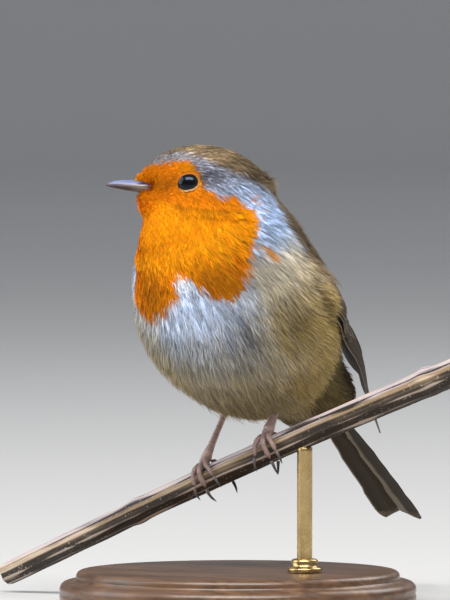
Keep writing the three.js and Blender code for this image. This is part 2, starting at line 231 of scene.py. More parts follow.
def closed_faces(rows, columns):
    """The faces of a grid of rings and of a fan at each end, round one corner added after the grid."""
    count = rows * columns
    ring = np.arange(columns)
    following = (ring + 1) % columns
    start = np.stack([ring, following, np.full(columns, count)], 1)
    end = np.stack([following + count - columns, ring + count - columns, np.full(columns, count + 1)], 1)
    return [grid_faces(rows, columns, True)[:, ::-1], np.vstack([start, end])]


def end_caps(rows, columns):
    ring = np.arange(columns)
    return np.stack([ring[::-1], ring + (rows - 1) * columns])


class Batch:
    """Corners, faces, bake places and attributes gathered for one joined mesh."""

    def __init__(self):
        self.points, self.bake, self.faces, self.marks = [], [], {}, {}
        self.size = 0

    def add(self, points, faces, bake=None, **marks):
        points = np.asarray(points, dtype=float).reshape(-1, 3)
        self.points.append(points)
        self.bake.append(np.zeros((len(points), 2)) if bake is None else np.asarray(bake).reshape(-1, 2))
        for group in faces:
            self.faces.setdefault(group.shape[1], []).append(group + self.size)
        for name, values in marks.items():
            self.marks.setdefault(name, []).append(np.asarray(values, dtype=float).reshape(-1, 4))
        self.size += len(points)

    def build(self, name, material, slot, replaced=(), baked=False):
        """The piece itself, riding on the frame's one body."""
        mesh = bpy.data.meshes.new(name)
        points = np.concatenate(self.points) * MM
        groups = [np.concatenate(parts) for parts in self.faces.values()]
        corners = np.concatenate([group.ravel() for group in groups]).astype(np.int32)
        sizes = np.concatenate([np.full(len(group), group.shape[1]) for group in groups])
        starts = np.concatenate([[0], np.cumsum(sizes)[:-1]]).astype(np.int32)
        mesh.vertices.add(len(points))
        mesh.vertices.foreach_set("co", points.astype(np.float32).ravel())
        mesh.loops.add(len(corners))
        mesh.loops.foreach_set("vertex_index", corners)
        mesh.polygons.add(len(sizes))
        mesh.polygons.foreach_set("loop_start", starts)
        mesh.update(calc_edges=True)
        mesh.polygons.foreach_set("use_smooth", np.ones(len(sizes), dtype=bool))
        if baked:
            places = np.concatenate(self.bake).astype(np.float32)
            mesh.uv_layers.new(name="OFBake").uv.foreach_set("vector", places[corners].ravel())
        for mark, values in self.marks.items():
            attribute = mesh.attributes.new(mark, "FLOAT_COLOR", "POINT")
            attribute.data.foreach_set("color", np.concatenate(values).astype(np.float32).ravel())
        mesh.materials.append(material)
        piece = bpy.data.objects.new(name, mesh)
        bpy.context.scene.collection.objects.link(piece)
        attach(piece, "root")
        if replaced:
            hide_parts(*replaced)
        return piece


def tube(centres, radii, around, reference, shape=None):
    """A closed limb: rings about a line of centres, drawn in to a point at each end. shape(share, angle)
    scales the radius, and angle 0 faces the reference."""
    way = unit(np.gradient(centres, axis=0))
    out = unit(reference - way * (way * reference).sum(1, keepdims=True))
    side = np.cross(way, out)
    angle = circle(around)
    share = np.linspace(0, 1, len(centres))
    scale = np.ones((len(centres), around)) if shape is None else shape(share[:, None], angle[None, :])
    ring = np.cos(angle)[None, :, None] * out[:, None] + np.sin(angle)[None, :, None] * side[:, None]
    walls = centres[:, None] + ring * (radii[:, None] * scale)[..., None]
    points = np.vstack([walls.reshape(-1, 3), centres[:1], centres[-1:]])
    places = channels(share[:, None], angle[None, :] / (2 * np.pi)).reshape(-1, 2)
    return points, closed_faces(len(centres), around), np.vstack([places, [[0, 0.5], [1, 0.5]]])


# ---------- Materials ----------


class Finish:
    """A procedural material, built node by node."""

    def __init__(self, name, **values):
        self.material = bpy.data.materials.new(name)
        self.material.use_nodes = True
        self.nodes = self.material.node_tree.nodes
        self.links = self.material.node_tree.links
        self.shader = self.nodes["Principled BSDF"]
        for socket, value in values.items():
            self.shader.inputs[socket.replace("_", " ")].default_value = value

    def put(self, kind, inputs=None, **settings):
        """A new node with its settings, and inputs that are numbers, colours or other nodes' outputs."""
        node = self.nodes.new(kind)
        for name, value in settings.items():
            setattr(node, name, value)
        for socket, value in (inputs or {}).items():
            self.feed(node.inputs[socket], value)
        return node

    def feed(self, socket, value):
        if isinstance(value, bpy.types.NodeSocket):
            self.links.new(value, socket)
        elif hasattr(socket.default_value, "__len__") and len(value) == 3 and len(socket.default_value) == 4:
            socket.default_value = (*value, 1.0)
        else:
            socket.default_value = value

    def maths(self, operation, a, b=0.0, clamp=False):
        return self.put("ShaderNodeMath", {0: a, 1: b}, operation=operation, use_clamp=clamp).outputs[0]

    def mix(self, share, a, b, blend="MIX"):
        node = self.put("ShaderNodeMix", {0: share, 6: a, 7: b}, data_type="RGBA", blend_type=blend)
        return node.outputs[2]

    def noise(self, scale, detail=3.0, stretch=(1, 1, 1), distortion=0.0):
        """Noise that is fixed to the object, stretched along its axes."""
        place = self.put("ShaderNodeTexCoord").outputs["Object"]
        mapped = self.put("ShaderNodeMapping", {"Vector": place, "Scale": stretch}).outputs[0]
        inputs = {"Vector": mapped, "Scale": scale, "Detail": detail, "Distortion": distortion}
        return self.put("ShaderNodeTexNoise", inputs).outputs[0]

    def times(self, a, b):
        return self.maths("MULTIPLY", a, b)

    def lit(self, colour, light):
        """A colour times a light, which is one number."""
        grey = self.put("ShaderNodeCombineColor", {0: light, 1: light, 2: light}).outputs[0]
        return self.mix(1.0, colour, grey, "MULTIPLY")

    def spread(self, value, low, high, start=0.0, end=1.0):
        inputs = {0: value, 1: low, 2: high, 3: start, 4: end}
        return self.put("ShaderNodeMapRange", inputs).outputs[0]

    def mark(self, name):
        node = self.put("ShaderNodeAttribute", attribute_name=name)
        split = self.put("ShaderNodeSeparateColor", {0: node.outputs["Color"]})
        return [*split.outputs, node.outputs["Alpha"]]

    def bump(self, height, strength, distance):
        inputs = {"Strength": strength, "Distance": distance, "Height": height}
        self.feed(self.shader.inputs["Normal"], self.put("ShaderNodeBump", inputs).outputs[0])

    def colour(self, value):
        self.feed(self.shader.inputs["Base Color"], value)

    def roughness(self, value):
        self.feed(self.shader.inputs["Roughness"], value)


def length_of(name, text, default):
    return FloatProperty(name=name, description=text, default=default * MM, min=0.0, unit="LENGTH")


def angle_of(name, text, default):
    return FloatProperty(name=name, description=text, default=math.radians(default), subtype="ANGLE")


def power_of(name, text, default):
    return FloatProperty(name=name, description=text, default=default, min=0.0, unit="POWER")


def scale_of(name, text):
    return FloatProperty(name=name, description=text, default=1.0, min=0.1, max=1.0)


def colour_of(name, text, default):
    return FloatVectorProperty(
        name=name, description=text, default=default, size=3, min=0.0, max=1.0, subtype="COLOR"
    )


# ---------- The pelt: the plumage's outer form as a grid from bill to tail ----------

# Where the form is measured from: an inner point in millimetres, how far the axis dips and is turned from the
# robin's own forward, and the half angle of the cone of rays about it, in degrees. The head's own stations
# follow the turned head, and the rest follow the trunk and the rump.
HEAD_YAW = 47.0
HEAD_STATIONS = (  # forward and up from the skull's middle; dip; cone
    (2.0, 0.3, 0, 2),
    (2.0, 0.3, 8, 20),
    (2.0, 0.3, 20, 40),
    (1.6, 0.2, 38, 66),
)
BODY_STATIONS = (  # across, back and up from the skull's middle; dip; yaw; cone
    (0.0, 0.0, -0.2, 54, 45, 90),
    (0.4, 0.8, -4.2, 61, 35, 90),
    (0.8, 2.2, -10.2, 64, 21, 90),
    (1.2, 4.4, -17.2, 62, 9, 90),
    (1.5, 7.4, -24.2, 56, 3, 90),
    (1.6, 11.4, -29.7, 49, 0, 90),
    (1.6, 17.4, -34.7, 43, 0, 91),
    (1.6, 24.4, -39.7, 40, 0, 94),
    (1.6, 30.4, -43.7, 40, 0, 103),
    (1.6, 33.9, -46.0, 40, 0, 125),
    (1.6, 34.9, -46.7, 40, 0, 150),
    (1.6, 34.9, -46.7, 40, 0, 176),
)
ROWS, COLUMNS, CONES = 200, 144, 360
CUT = 2.5  # the parting cuts between head, neck and trunk are narrower than this, even aslant
STEP_ASIDE = 0.6  # a ray that runs along a cut is tried again this far to each side
BILL_CONE = 17  # rays of narrower cones than this run into the bill
SHORT_RAY = 0.35  # a ray that falls this far short of its neighbours has met a socket or a cut
BRIDGE_START, BRIDGE_ROUNDS = 12.0, 900  # a first guess at a bridged ray's length, and rounds that settle it
SMOOTHING = 6  # rounds of smoothing of the rays' lengths
SETTLING = 40  # rounds of smoothing that spread the grid's corners evenly
SOCKET = 3.6  # the frame's eye sockets reach this far from an eye's middle
SKULL_BEHIND_EYES = 6.3  # the skull's middle lies this far behind the line between the eyes
SKULL_UNDER_EYES = 1.4
FOREHEAD_REACH, CHIN_REACH = 3.2, 1.3  # how far the feathers run forward over the bill's root
GAPE_BACK = 1.6  # and how far back they lie beside its corners
# Where the form is filled out or drawn in: middle and reach along the body (and round it), and how far.
NAPE_FULL = (0.245, 0.03, 0.35)
NECK_DRAWN = (0.305, 0.03, 0.5)
BACK_DRAWN = ((0.47, 0.15), (0.1, 0.07), 1.2)
BELLY_DRAWN = ((0.63, 0.47), (0.075, 0.12), 1.7)
LEAST_GIRTH = 14.0  # at the ends, a step round the body counts against at least this girth
COVERED = 0.3  # a place counts as under the wing where the wing stands this far over it

# The coat's depth over the skin, from bill to tail.
DEPTH_WAY = (0.0, 0.05, 0.12, 0.20, 0.27, 0.35, 0.50, 0.70, 0.80, 1.0)
DEPTH = (0.35, 0.5, 0.6, 0.9, 1.3, 1.7, 2.2, 2.2, 1.5, 0.8)


def side_of(turn):
    """How far round from the back a place lies, on either side."""
    return np.minimum(turn % 1.0, 1 - turn % 1.0)


def facing(yaw):
    return np.array([-math.sin(math.radians(yaw)), -math.cos(math.radians(yaw)), 0.0])


HEAD_FORWARD = facing(HEAD_YAW)
HEAD_LEFT = np.cross(UP, HEAD_FORWARD)
SKULL = (
    (middle("eye_left") + middle("eye_right")) / 2
    - HEAD_FORWARD * SKULL_BEHIND_EYES
    - UP * SKULL_UNDER_EYES
)


def way_out(tree, start, ray):
    """How far a ray from within the form goes until it is out of it; narrow cuts on its way don't count."""
    travelled, left, within = 0.0, None, True
    while True:
        _, _, _, distance = tree.ray_cast(start + ray * travelled, ray)
        if distance is None:
            return left
        travelled += distance
        if within:
            left = travelled
        elif travelled - left > CUT:
            return left
        within = not within
        travelled += 1e-4


class Pelt:
    """The outer form of the plumage. way runs from 0 at the bill to 1 at the tail, and turn goes once round
    the body: 0 along the back, 0.25 on the robin's left, 0.5 along the breast."""

    def __init__(self):
        stations = [
            (*(SKULL + HEAD_FORWARD * forward + UP * up), dip, HEAD_YAW, cone)
            for forward, up, dip, cone in HEAD_STATIONS
        ]
        stations += [
            (*(SKULL + np.array([across, back, up])), dip, yaw, cone)
            for across, back, up, dip, yaw, cone in BODY_STATIONS
        ]
        rows = through(stations, CONES)
        origins = rows[:, :3]
        rays = self.rays(*np.radians(rows[:, 3:]).T)
        reach = self.measure(origins, rays, rows[:, 5])
        self.space_evenly(origins[:, None] + rays * reach[..., None])
        way, turn = np.meshgrid(np.linspace(0, 1, ROWS), np.arange(COLUMNS) / COLUMNS, indexing="ij")
        self.way, self.turn = way, turn
        self.draw_over_bill()
        self.round_nape()
        down = np.gradient(self.outer, axis=0)
        around = (np.roll(self.outer, -1, 1) - np.roll(self.outer, 1, 1)) / 2
        self.normal = unit(np.cross(down, around))
        outwards = self.outer - self.outer.mean((0, 1))
        self.normal *= np.sign((outwards * self.normal).sum())
        self.way_length = np.linalg.norm(down, axis=2) * (ROWS - 1)
        self.turn_length = np.maximum(np.linalg.norm(around, axis=2) * COLUMNS, LEAST_GIRTH)
        self.depth = np.interp(way, DEPTH_WAY, DEPTH)
        self.area = np.linalg.norm(np.cross(down, around), axis=2)
        self.cover = self.wing_cover()
        self.under_wing = self.wing_depth()

    def rays(self, dip, yaw, cone):
        """The directions of each cone's rays, from the back round by the robin's left."""
        ahead = np.stack([-np.sin(yaw) * np.cos(dip), -np.cos(yaw) * np.cos(dip), np.sin(dip)], 1)
        back = unit(UP - ahead * (ahead @ UP)[:, None])
        left = np.cross(back, ahead)
        turn = circle(COLUMNS)
        ring = np.cos(turn)[None, :, None] * back[:, None] + np.sin(turn)[None, :, None] * left[:, None]
        return np.cos(cone)[:, None, None] * ahead[:, None] + np.sin(cone)[:, None, None] * ring

    def measure(self, origins, rays, cones):
        """How far the form reaches along each ray, bridged over the eyes, the bill and the parting cuts."""
        tree = tree_of("head", "neck", "trunk")
        eyes = [Vector(middle("eye_left")), Vector(middle("eye_right"))]
        reach = np.full(rays.shape[:2], np.nan)
        beside = [Vector(UP * shift) for shift in (0.0, -STEP_ASIDE, STEP_ASIDE)]
        for i, origin in enumerate(origins):
            for j in range(COLUMNS):
                start, ray = Vector(origin), Vector(rays[i, j])
                travelled = max(way_out(tree, start + shift, ray) or 0.0 for shift in beside)
                if travelled and min((start + ray * travelled - eye).length for eye in eyes) > SOCKET:
                    reach[i, j] = travelled
        nearby = np.stack([np.roll(reach, shift, 0) for shift in range(-3, 4)])
        usual = np.nanmedian(np.where(np.isnan(nearby), np.nanmean(reach), nearby), 0)
        known = ~np.isnan(reach) & (reach > usual - SHORT_RAY) & (cones > BILL_CONE)[:, None]
        filled = np.where(known, reach, BRIDGE_START)
        for _ in range(BRIDGE_ROUNDS):
            above = np.vstack([filled[:1], filled[:-1]])
            below = np.vstack([filled[1:], filled[-1:]])
            mean = (above + below + np.roll(filled, 1, 1) + np.roll(filled, -1, 1)) / 4
            filled = np.where(known, reach, mean)
        for _ in range(SMOOTHING):
            filled = (np.roll(filled, 1, 1) + 2 * filled + np.roll(filled, -1, 1)) / 4
            filled[1:-1] = (filled[:-2] + 2 * filled[1:-1] + filled[2:]) / 4
        return filled

    def space_evenly(self, points):
        """Keeps ROWS rows at even distances along the form."""
        steps = np.linalg.norm(np.diff(points, axis=0), axis=2).mean(1)
        along = np.concatenate([[0], np.cumsum(steps)])
        wanted = np.linspace(0, along[-1], ROWS)
        index = np.clip(np.searchsorted(along, wanted) - 1, 0, len(along) - 2)
        share = ((wanted - along[index]) / (along[index + 1] - along[index]))[:, None, None]
        outer = lerp(points[index], points[index + 1], share)
        for _ in range(SETTLING):
            nearby = np.roll(outer, 1, 1) + np.roll(outer, -1, 1)
            outer[1:-1] = (nearby[1:-1] + outer[:-2] + outer[2:]) / 4
        self.outer = outer

    def draw_over_bill(self):
        """Brings the forehead and the chin forward over the bill's root, as the feathers there lie."""
        root, tip = bill_ends()
        ahead = unit(tip - root)
        local = self.outer - root
        aside = local - (local @ ahead)[..., None] * ahead
        away = np.linalg.norm(aside, axis=2)
        above = (aside @ UP) / np.maximum(away, 0.1)
        most = np.where(above > 0, FOREHEAD_REACH, CHIN_REACH) * ease(np.abs(above), 0.2, 0.9)
        most = most - GAPE_BACK * ease(0.55 - np.abs(above), 0, 0.45)
        reach = most * np.interp(away, (0, 1.7, 3.2, 5.0, 7.5), (1.0, 1.0, 0.45, 0.15, 0.0))
        self.outer = self.outer + ahead * (reach * (self.way < 0.2))[..., None]

    def round_nape(self):
        """Fills out the hind crown, and draws in the neck, the sides of the back and the belly."""
        side = side_of(self.turn)
        full, drawn = (band(self.way, *place) * by for *place, by in (NAPE_FULL, NECK_DRAWN))
        outwards = unit(self.outer - self.outer.mean(1, keepdims=True))
        moved = (full - drawn) * ease(0.24 - side, 0, 0.12)
        back, low = (patch(self.way, side, *place) * by for *place, by in (BACK_DRAWN, BELLY_DRAWN))
        self.outer = self.outer + outwards * (moved - back - low)[..., None]

    def wing_cover(self):
        """How high the folded wings stand over the form."""
        tree = tree_of("wing_left", "wing_right")
        reach = 14.0
        cover = np.zeros(self.depth.shape)
        for i in range(ROWS // 4, ROWS):
            for j in range(COLUMNS):
                start = self.outer[i, j] + self.normal[i, j] * reach
                hit = tree.ray_cast(Vector(start), Vector(-self.normal[i, j]), reach)
                if hit[0] is not None:
                    cover[i, j] = reach - hit[3]
        return cover

    def wing_depth(self):
        """How far each place under a wing lies from the wing's nearest edge."""
        covered = self.cover > COVERED
        edge = self.outer[covered & ~inner_part(covered)]
        depth = np.zeros(covered.shape)
        places = self.outer[covered]
        depth[covered] = [np.linalg.norm(edge - place, axis=1).min() for place in places]
        return depth

    def read(self, field, way, turn):
        """A field of the grid at any place on it."""
        row = np.clip(way, 0, 1) * (ROWS - 1)
        top = np.minimum(row.astype(int), ROWS - 2)
        column = (turn % 1.0) * COLUMNS
        left = column.astype(int) % COLUMNS
        columns = left, (left + 1) % COLUMNS
        return sample(field, (top, top + 1), columns, row - top, column - np.floor(column))

    def walk(self, way, turn, ahead, aside):
        """The place that lies some millimetres on towards the tail, and round the body."""
        return (
            way + ahead / self.read(self.way_length, way, turn),
            turn + aside / self.read(self.turn_length, way, turn),
        )

    def at(self, way, turn, lift):
        """A point that lies so far over the plumage's outer form, or under it."""
        return self.read(self.outer, way, turn) + unit(self.read(self.normal, way, turn)) * lift[..., None]


@functools.cache
def pelt():
    return Pelt()


# ---------- The eyes' openings ----------

# The opening's half length, its heights over and under its line, how far its front corner is drawn out,
# its tilt in degrees and how far it lies below the globe's own axis.
LID = {"length": 2.38, "over": 1.8, "under": 1.92, "corner": 0.3, "tilt": 7.0, "drop": 0.3}


class Eye:
    """One eye: its globe, the axis it looks along, and the outline that its lids leave open."""

    def __init__(self, side):
        self.side = SIDES[side]
        low, high = extent(f"eye_{side}")
        self.centre = (low + high) / 2
        self.radius = (high - low).max() / 2
        form = pelt()
        away = np.linalg.norm(form.outer - self.centre, axis=2)
        near = (away < self.radius + 2.0) & (form.way < 0.3)
        self.axis = unit(form.normal[near].mean(0))
        self.front = unit(HEAD_FORWARD - self.axis * (self.axis @ HEAD_FORWARD))
        self.over = unit(UP - self.axis * (self.axis @ UP) - self.front * (self.front @ UP))
        tilt = math.radians(LID["tilt"])
        front, over = self.front, self.over
        self.front = front * math.cos(tilt) - over * math.sin(tilt)
        self.over = over * math.cos(tilt) + front * math.sin(tilt)

    def outline(self, angle):
        """How far the opening reaches from the axis; angle 0 is the front corner and a quarter turn is up."""
        height = np.where(np.sin(angle) > 0, LID["over"], LID["under"])
        across = np.cos(angle) * LID["length"]
        across = across + LID["corner"] * np.clip(np.cos(angle), 0, 1) ** 10
        return np.hypot(across, np.sin(angle) * height)

    def seen(self, points):
        """Each point's distance outside the opening (negative within it), angle and height along the axis."""
        local = points - self.centre
        forward, up = local @ self.front, local @ self.over + LID["drop"]
        angle = np.arctan2(up, forward)
        return np.hypot(forward, up) - self.outline(angle), angle, local @ self.axis

    def place(self, angle, away, lift):
        """Points at distances from the opening's middle that lie so far over the globe."""
        forward, up = np.cos(angle) * away, np.sin(angle) * away - LID["drop"]
        height = np.sqrt(np.maximum(self.radius**2 - forward**2 - up**2, 0.0)) + lift
        forward, up, height = (np.asarray(values)[..., None] for values in (forward, up, height))
        return self.centre + self.front * forward + self.over * up + self.axis * height


@functools.cache
def eyes():
    return [Eye(side) for side in SIDES]


# ---------- Markings ----------

# The top edge of the orange face and the side edges of the bib: way against turn from the back.
FACE_WAY = (0.03, 0.042, 0.06, 0.08, 0.106, 0.121, 0.131, 0.151, 0.166, 0.181, 0.206, 0.216,
            0.221, 0.227, 0.241, 0.256, 0.276, 0.302, 0.337, 0.382, 0.397, 0.43)
FACE_TURN = (0.0, 0.08, 0.13, 0.15, 0.158, 0.178, 0.201, 0.236, 0.257, 0.264, 0.257, 0.266,
             0.243, 0.222, 0.222, 0.226, 0.218, 0.242, 0.29, 0.333, 0.35, 0.42)
# On the right the bib ends nearer to the breast's middle.
FAR_WAY = (0.27, 0.305, 0.33, 0.37, 0.4)
FAR_TURN = (0.0, 0.385, 0.402, 0.406, 0.4)
# The bib's lower edge, with the white notch that rises into it: turn against way.
BIB_TURN = (0.25, 0.333, 0.347, 0.382, 0.403, 0.413, 0.425, 0.438,
            0.453, 0.463, 0.5, 0.549, 0.576, 0.618, 0.75)
BIB_WAY = (0.4, 0.392, 0.402, 0.412, 0.399, 0.378, 0.35, 0.338,
           0.345, 0.382, 0.411, 0.437, 0.424, 0.412, 0.39)
# The slate band between the brown crown and the orange, and where it ends over the flank.
SLATE_WAY = (0.04, 0.06, 0.121, 0.156, 0.196, 0.215, 0.24, 0.27, 0.29, 0.307, 0.34, 0.372, 0.442)
SLATE_TURN = (0.02, 0.035, 0.13, 0.162, 0.155, 0.145, 0.13, 0.122, 0.122, 0.138, 0.168, 0.187, 0.2)
SLATE_END_TURN = (0.1, 0.194, 0.215, 0.264, 0.3, 0.33)
SLATE_END_WAY = (0.43, 0.415, 0.39, 0.372, 0.362, 0.35)
# The white belly's edge towards the buff flank.
WHITE_WAY = (0.35, 0.417, 0.482, 0.563, 0.633, 0.8)
WHITE_TURN = (0.33, 0.34, 0.354, 0.361, 0.381, 0.40)
# The buff flank's edge towards the brown back and wing.
BUFF_WAY = (0.35, 0.40, 0.45, 0.53, 0.62, 0.70, 0.9)
BUFF_TURN = (0.18, 0.2, 0.212, 0.215, 0.215, 0.22, 0.28)
WHITE_FADE_WAY = (0.46, 0.56, 0.66, 0.9)
WHITE_FADE = (1.0, 0.62, 0.3, 0.45)  # how white the belly is, towards the tail
WHITE_FAR = 0.04  # on the right the white ends so much nearer to the belly's middle
# How softly each edge turns, across it.
FACE_SOFT = (-0.003, 0.006)
BIB_SOFT = (-0.006, 0.006)
SLATE_SOFT = (-0.014, 0.014)
SLATE_END_SOFT = (-0.02, 0.02)
WHITE_SOFT = (-0.02, 0.02)
BUFF_SOFT = (-0.01, 0.02)
# The golden spot at the bend of the wing, and the orange flecks that stray into the slate behind the cheek:
# way, turn and how far each reaches in both.
GILT = (0.36, 0.272, 0.02, 0.008)
STRAY = (0.262, 0.195, 0.03, 0.035)
# Unevenness that follows the lie: waves round the body, waves along it, and the seed of the draw.
FLECKS = (90, 60, 33)
COMBED = (70, 14, 35)
STREAKS = (55, 9, 31)
COARSE_BARBS = (135, 24, 34)
FINE_BARBS = (230, 34, 36)
DEEP_STREAKS = (60, 12, 32)
# How deep the orange is, from bill to bib's end.
DEEP_WAY = (0.0, 0.05, 0.1, 0.13, 0.2, 0.24, 0.27, 0.31, 0.35, 0.43)
DEEP = (0.5, 0.75, 0.9, 0.75, 0.75, 0.65, 0.2, 0.2, 0.66, 0.7)


def uneven(way, side, kind):
    around, along, seed = kind
    return ripple(np.stack([side * around, way * along], -1), 1.0, seed)


def oval(way, side, place):
    return np.hypot((way - place[0]) / place[2], (side - place[1]) / place[3])


def gilt_of(way, side):
    return ease(oval(way, side, GILT), 1.3, 0.7)


def markings(way, turn):
    """The shares of orange, slate, white and buff in the plumage at a place; the rest is olive brown."""
    side = side_of(turn)
    right = turn % 1.0 > 0.5
    face = np.interp(way, FACE_WAY, FACE_TURN)
    face = np.where(right, np.maximum(face, np.interp(way, FAR_WAY, FAR_TURN)), face)
    orange = ease(side - face, *FACE_SOFT)
    orange = orange * ease(np.interp(turn % 1.0, BIB_TURN, BIB_WAY) - way, *BIB_SOFT)
    gilt = gilt_of(way, side)
    stray = ease(oval(way, side, STRAY), 1.1, 0.7) * ease(uneven(way, side, FLECKS), 0.3, 1.0) * 0.68
    orange = np.maximum(np.maximum(orange, 0.6 * gilt), stray)
    slate_edge = np.interp(way, SLATE_WAY, SLATE_TURN)
    slate = ease(side - slate_edge + 0.012 * uneven(way, side, COMBED), *SLATE_SOFT)
    slate = slate * ease(np.interp(side, SLATE_END_TURN, SLATE_END_WAY) - way, *SLATE_END_SOFT)
    slate = slate * lerp(0.6, 1.0, ease(way, 0.1, 0.15))
    slate = slate * (1 - 0.8 * gilt)
    white_edge = np.interp(way, WHITE_WAY, WHITE_TURN) + np.where(right, WHITE_FAR, 0.0)
    white = ease(side - white_edge, *WHITE_SOFT) * ease(way, 0.3, 0.34)
    white = white * np.interp(way, WHITE_FADE_WAY, WHITE_FADE)
    buff = ease(side - np.interp(way, BUFF_WAY, BUFF_TURN), *BUFF_SOFT) * ease(way, 0.33, 0.40)
    return np.stack([orange, slate, white, np.maximum(buff, gilt)], -1)


# Patches of painted shade and painted light, partly the plumage's own lighter and darker colour: way, turn,
# how far they reach in each, and their light. Those nearer to the back than MIRRORED lie on both sides.
MIRRORED = 0.35
PAINTED_SHADE_AND_LIGHT = (
    (0.085, 0.29, 0.03, 0.045, 0.68),  # lores
    (0.16, 0.212, 0.04, 0.045, 0.29),  # slate behind the eye
    (0.225, 0.06, 0.05, 0.11, 0.44),  # hind crown and nape
    (0.35, 0.444, 0.028, 0.024, 1.34),  # the white notch in the bib
    (0.37, 0.38, 0.04, 0.06, 0.54),  # the bib's lower edge
    (0.385, 0.52, 0.04, 0.05, 0.64),  # the same on the right
    (0.3, 0.5, 0.06, 0.05, 0.98),  # the breast's middle
    (0.13, 0.1, 0.05, 0.06, 1.4),  # crown
    (0.13, 0.205, 0.03, 0.035, 1.12),  # over the eye
    (0.407, 0.243, 0.034, 0.034, 1.36),  # shoulder
    (0.465, 0.387, 0.055, 0.009, 0.5),  # folds between belly and flank
    (0.43, 0.404, 0.04, 0.007, 0.66),
    (0.51, 0.412, 0.05, 0.008, 0.62),
    (0.48, 0.372, 0.06, 0.02, 0.5),
    (0.1, 0.43, 0.05, 0.08, 1.2),  # chin
    (0.16, 0.43, 0.05, 0.07, 1.12),  # throat
    (0.6, 0.5, 0.05, 0.1, 0.85),  # the belly's lowest part
    (0.495, 0.312, 0.045, 0.03, 0.5),  # the hollow in the flank
    (0.21, 0.125, 0.03, 0.04, 0.74),  # hind crown's side
    (0.4, 0.165, 0.09, 0.028, 0.62),  # the mantle's side
    (0.45, 0.222, 0.04, 0.005, 1.3),  # the flank's upper edge
    (0.47, 0.56, 0.06, 0.04, 0.9),  # the belly's far side
    (0.255, 0.14, 0.035, 0.03, 0.78),  # the slate's upper edge on the neck
    (0.332, 0.257, 0.03, 0.035, 0.7),  # the collar's lower end
    (0.296, 0.229, 0.025, 0.03, 1.15),  # the collar
    (0.4, 0.345, 0.018, 0.018, 0.66),  # the grey patch under the bib's corner
    (0.445, 0.35, 0.022, 0.02, 0.8),  # where that patch runs out
    (0.46, 0.42, 0.025, 0.018, 0.87),  # the belly's left side
    (0.392, 0.475, 0.016, 0.016, 1.3),  # the white under the notch
)
# The crease where the cheek's feathers end over the breast: way against turn from the back.
CREASE_WAY = (0.12, 0.155, 0.186, 0.231, 0.266, 0.28)
CREASE_TURN = (0.372, 0.36, 0.352, 0.299, 0.246, 0.23)
# Painted shade on the belly, along the body: darker towards its bottom, where less light falls.
BELLY_PAINTED_SHADE_WAY = (0.0, 0.40, 0.44, 0.485, 0.55, 0.62, 1.0)
BELLY_PAINTED_SHADE = (1.0, 1.02, 1.0, 0.62, 0.74, 0.64, 0.7)
# Where the painted shade on the rear, below the wing, begins and the flank's feathers end over it: way
# against turn.
REAR_TURN = (0.13, 0.19, 0.26, 0.31, 0.36, 0.4)
REAR_WAY = (0.585, 0.635, 0.705, 0.735, 0.76, 0.85)
# How strongly single barbs vary, along the body.
FINE_WAY = (0.0, 0.05, 0.1, 0.28, 0.34, 0.4, 1.0)
FINE = (0.16, 0.36, 0.64, 0.54, 0.3, 0.25, 0.3)
# The painted shade on the back beside the wing: the plumage's light there.
BACK_SHADE = 0.62
# The painted shade on the rear below the wing: the plumage's light there, on the left and on the right.
REAR_SHADE, REAR_SHADE_RIGHT = 0.36, 0.7
BROW = ((0.12, 0.195), (0.03, 0.03))  # paler orange over the eye
# COLD_FLANK adds painted cool shade, WARM_NOTCH takes some away, and the belly keeps it longest near
# BELLY_MIDDLE.
COLD_FLANK = ((0.57, 0.345), (0.05, 0.04))  # greyer buff, towards the flank's rear
WARM_NOTCH = ((0.35, 0.444), (0.03, 0.03))  # cleaner white, in the bib's notch
BELLY_MIDDLE = 0.455  # the turn at which the belly stays cold longest


def light_of(way, turn):
    """The painted light and shade of the plumage at a place, beside its own colour there."""
    side = side_of(turn)
    # painted shade, darker towards the belly's bottom
    light = lerp(1.0, np.interp(way, BELLY_PAINTED_SHADE_WAY, BELLY_PAINTED_SHADE), ease(side, 0.35, 0.41))
    for at_way, at_turn, long, wide, value in PAINTED_SHADE_AND_LIGHT:
        place = (at_way, at_turn), (long, wide)
        near = patch(way, turn % 1.0, *place)
        if at_turn < MIRRORED:
            near = np.maximum(near, patch(way, 1 - turn % 1.0, *place))
        light = light * lerp(1.0, value, near)
    # a painted shadow along the crease where the cheek's feathers end over the breast
    crease = band(side, np.interp(way, CREASE_WAY, CREASE_TURN), 0.007)
    crease = crease * ease(way, 0.13, 0.17) * ease(0.28 - way, 0, 0.02)
    shares = markings(way, turn)
    # painted shade on the back beside the wing, outside the slate
    back = ease(0.17 - side, -0.01, 0.02) * ease(way, 0.27, 0.32) * (1 - shares[..., 1])
    # painted shade on the rear below the wing, darker on the left
    behind = ease(way - np.interp(side, REAR_TURN, REAR_WAY), -0.01, 0.025) * ease(side, 0.11, 0.14)
    rear_shade_level = np.where(turn % 1.0 < 0.5, REAR_SHADE, REAR_SHADE_RIGHT)
    light = light * (1 - 0.34 * crease) * lerp(1.0, BACK_SHADE, back) * lerp(1.0, rear_shade_level, behind)
    # streaks along the lie break up the painted shade; single barbs vary at random
    streaks = uneven(way, side, STREAKS) * ease(way, 0.3, 0.4)
    fine = lerp(uneven(way, side, COARSE_BARBS), 1.5 * uneven(way, side, FINE_BARBS), shares[..., 1])
    fine = fine * np.interp(way, FINE_WAY, FINE) * lerp(1.0, 0.4, shares[..., 0])
    return light ** (1 + 0.35 * streaks) * np.exp(0.16 * streaks + fine)


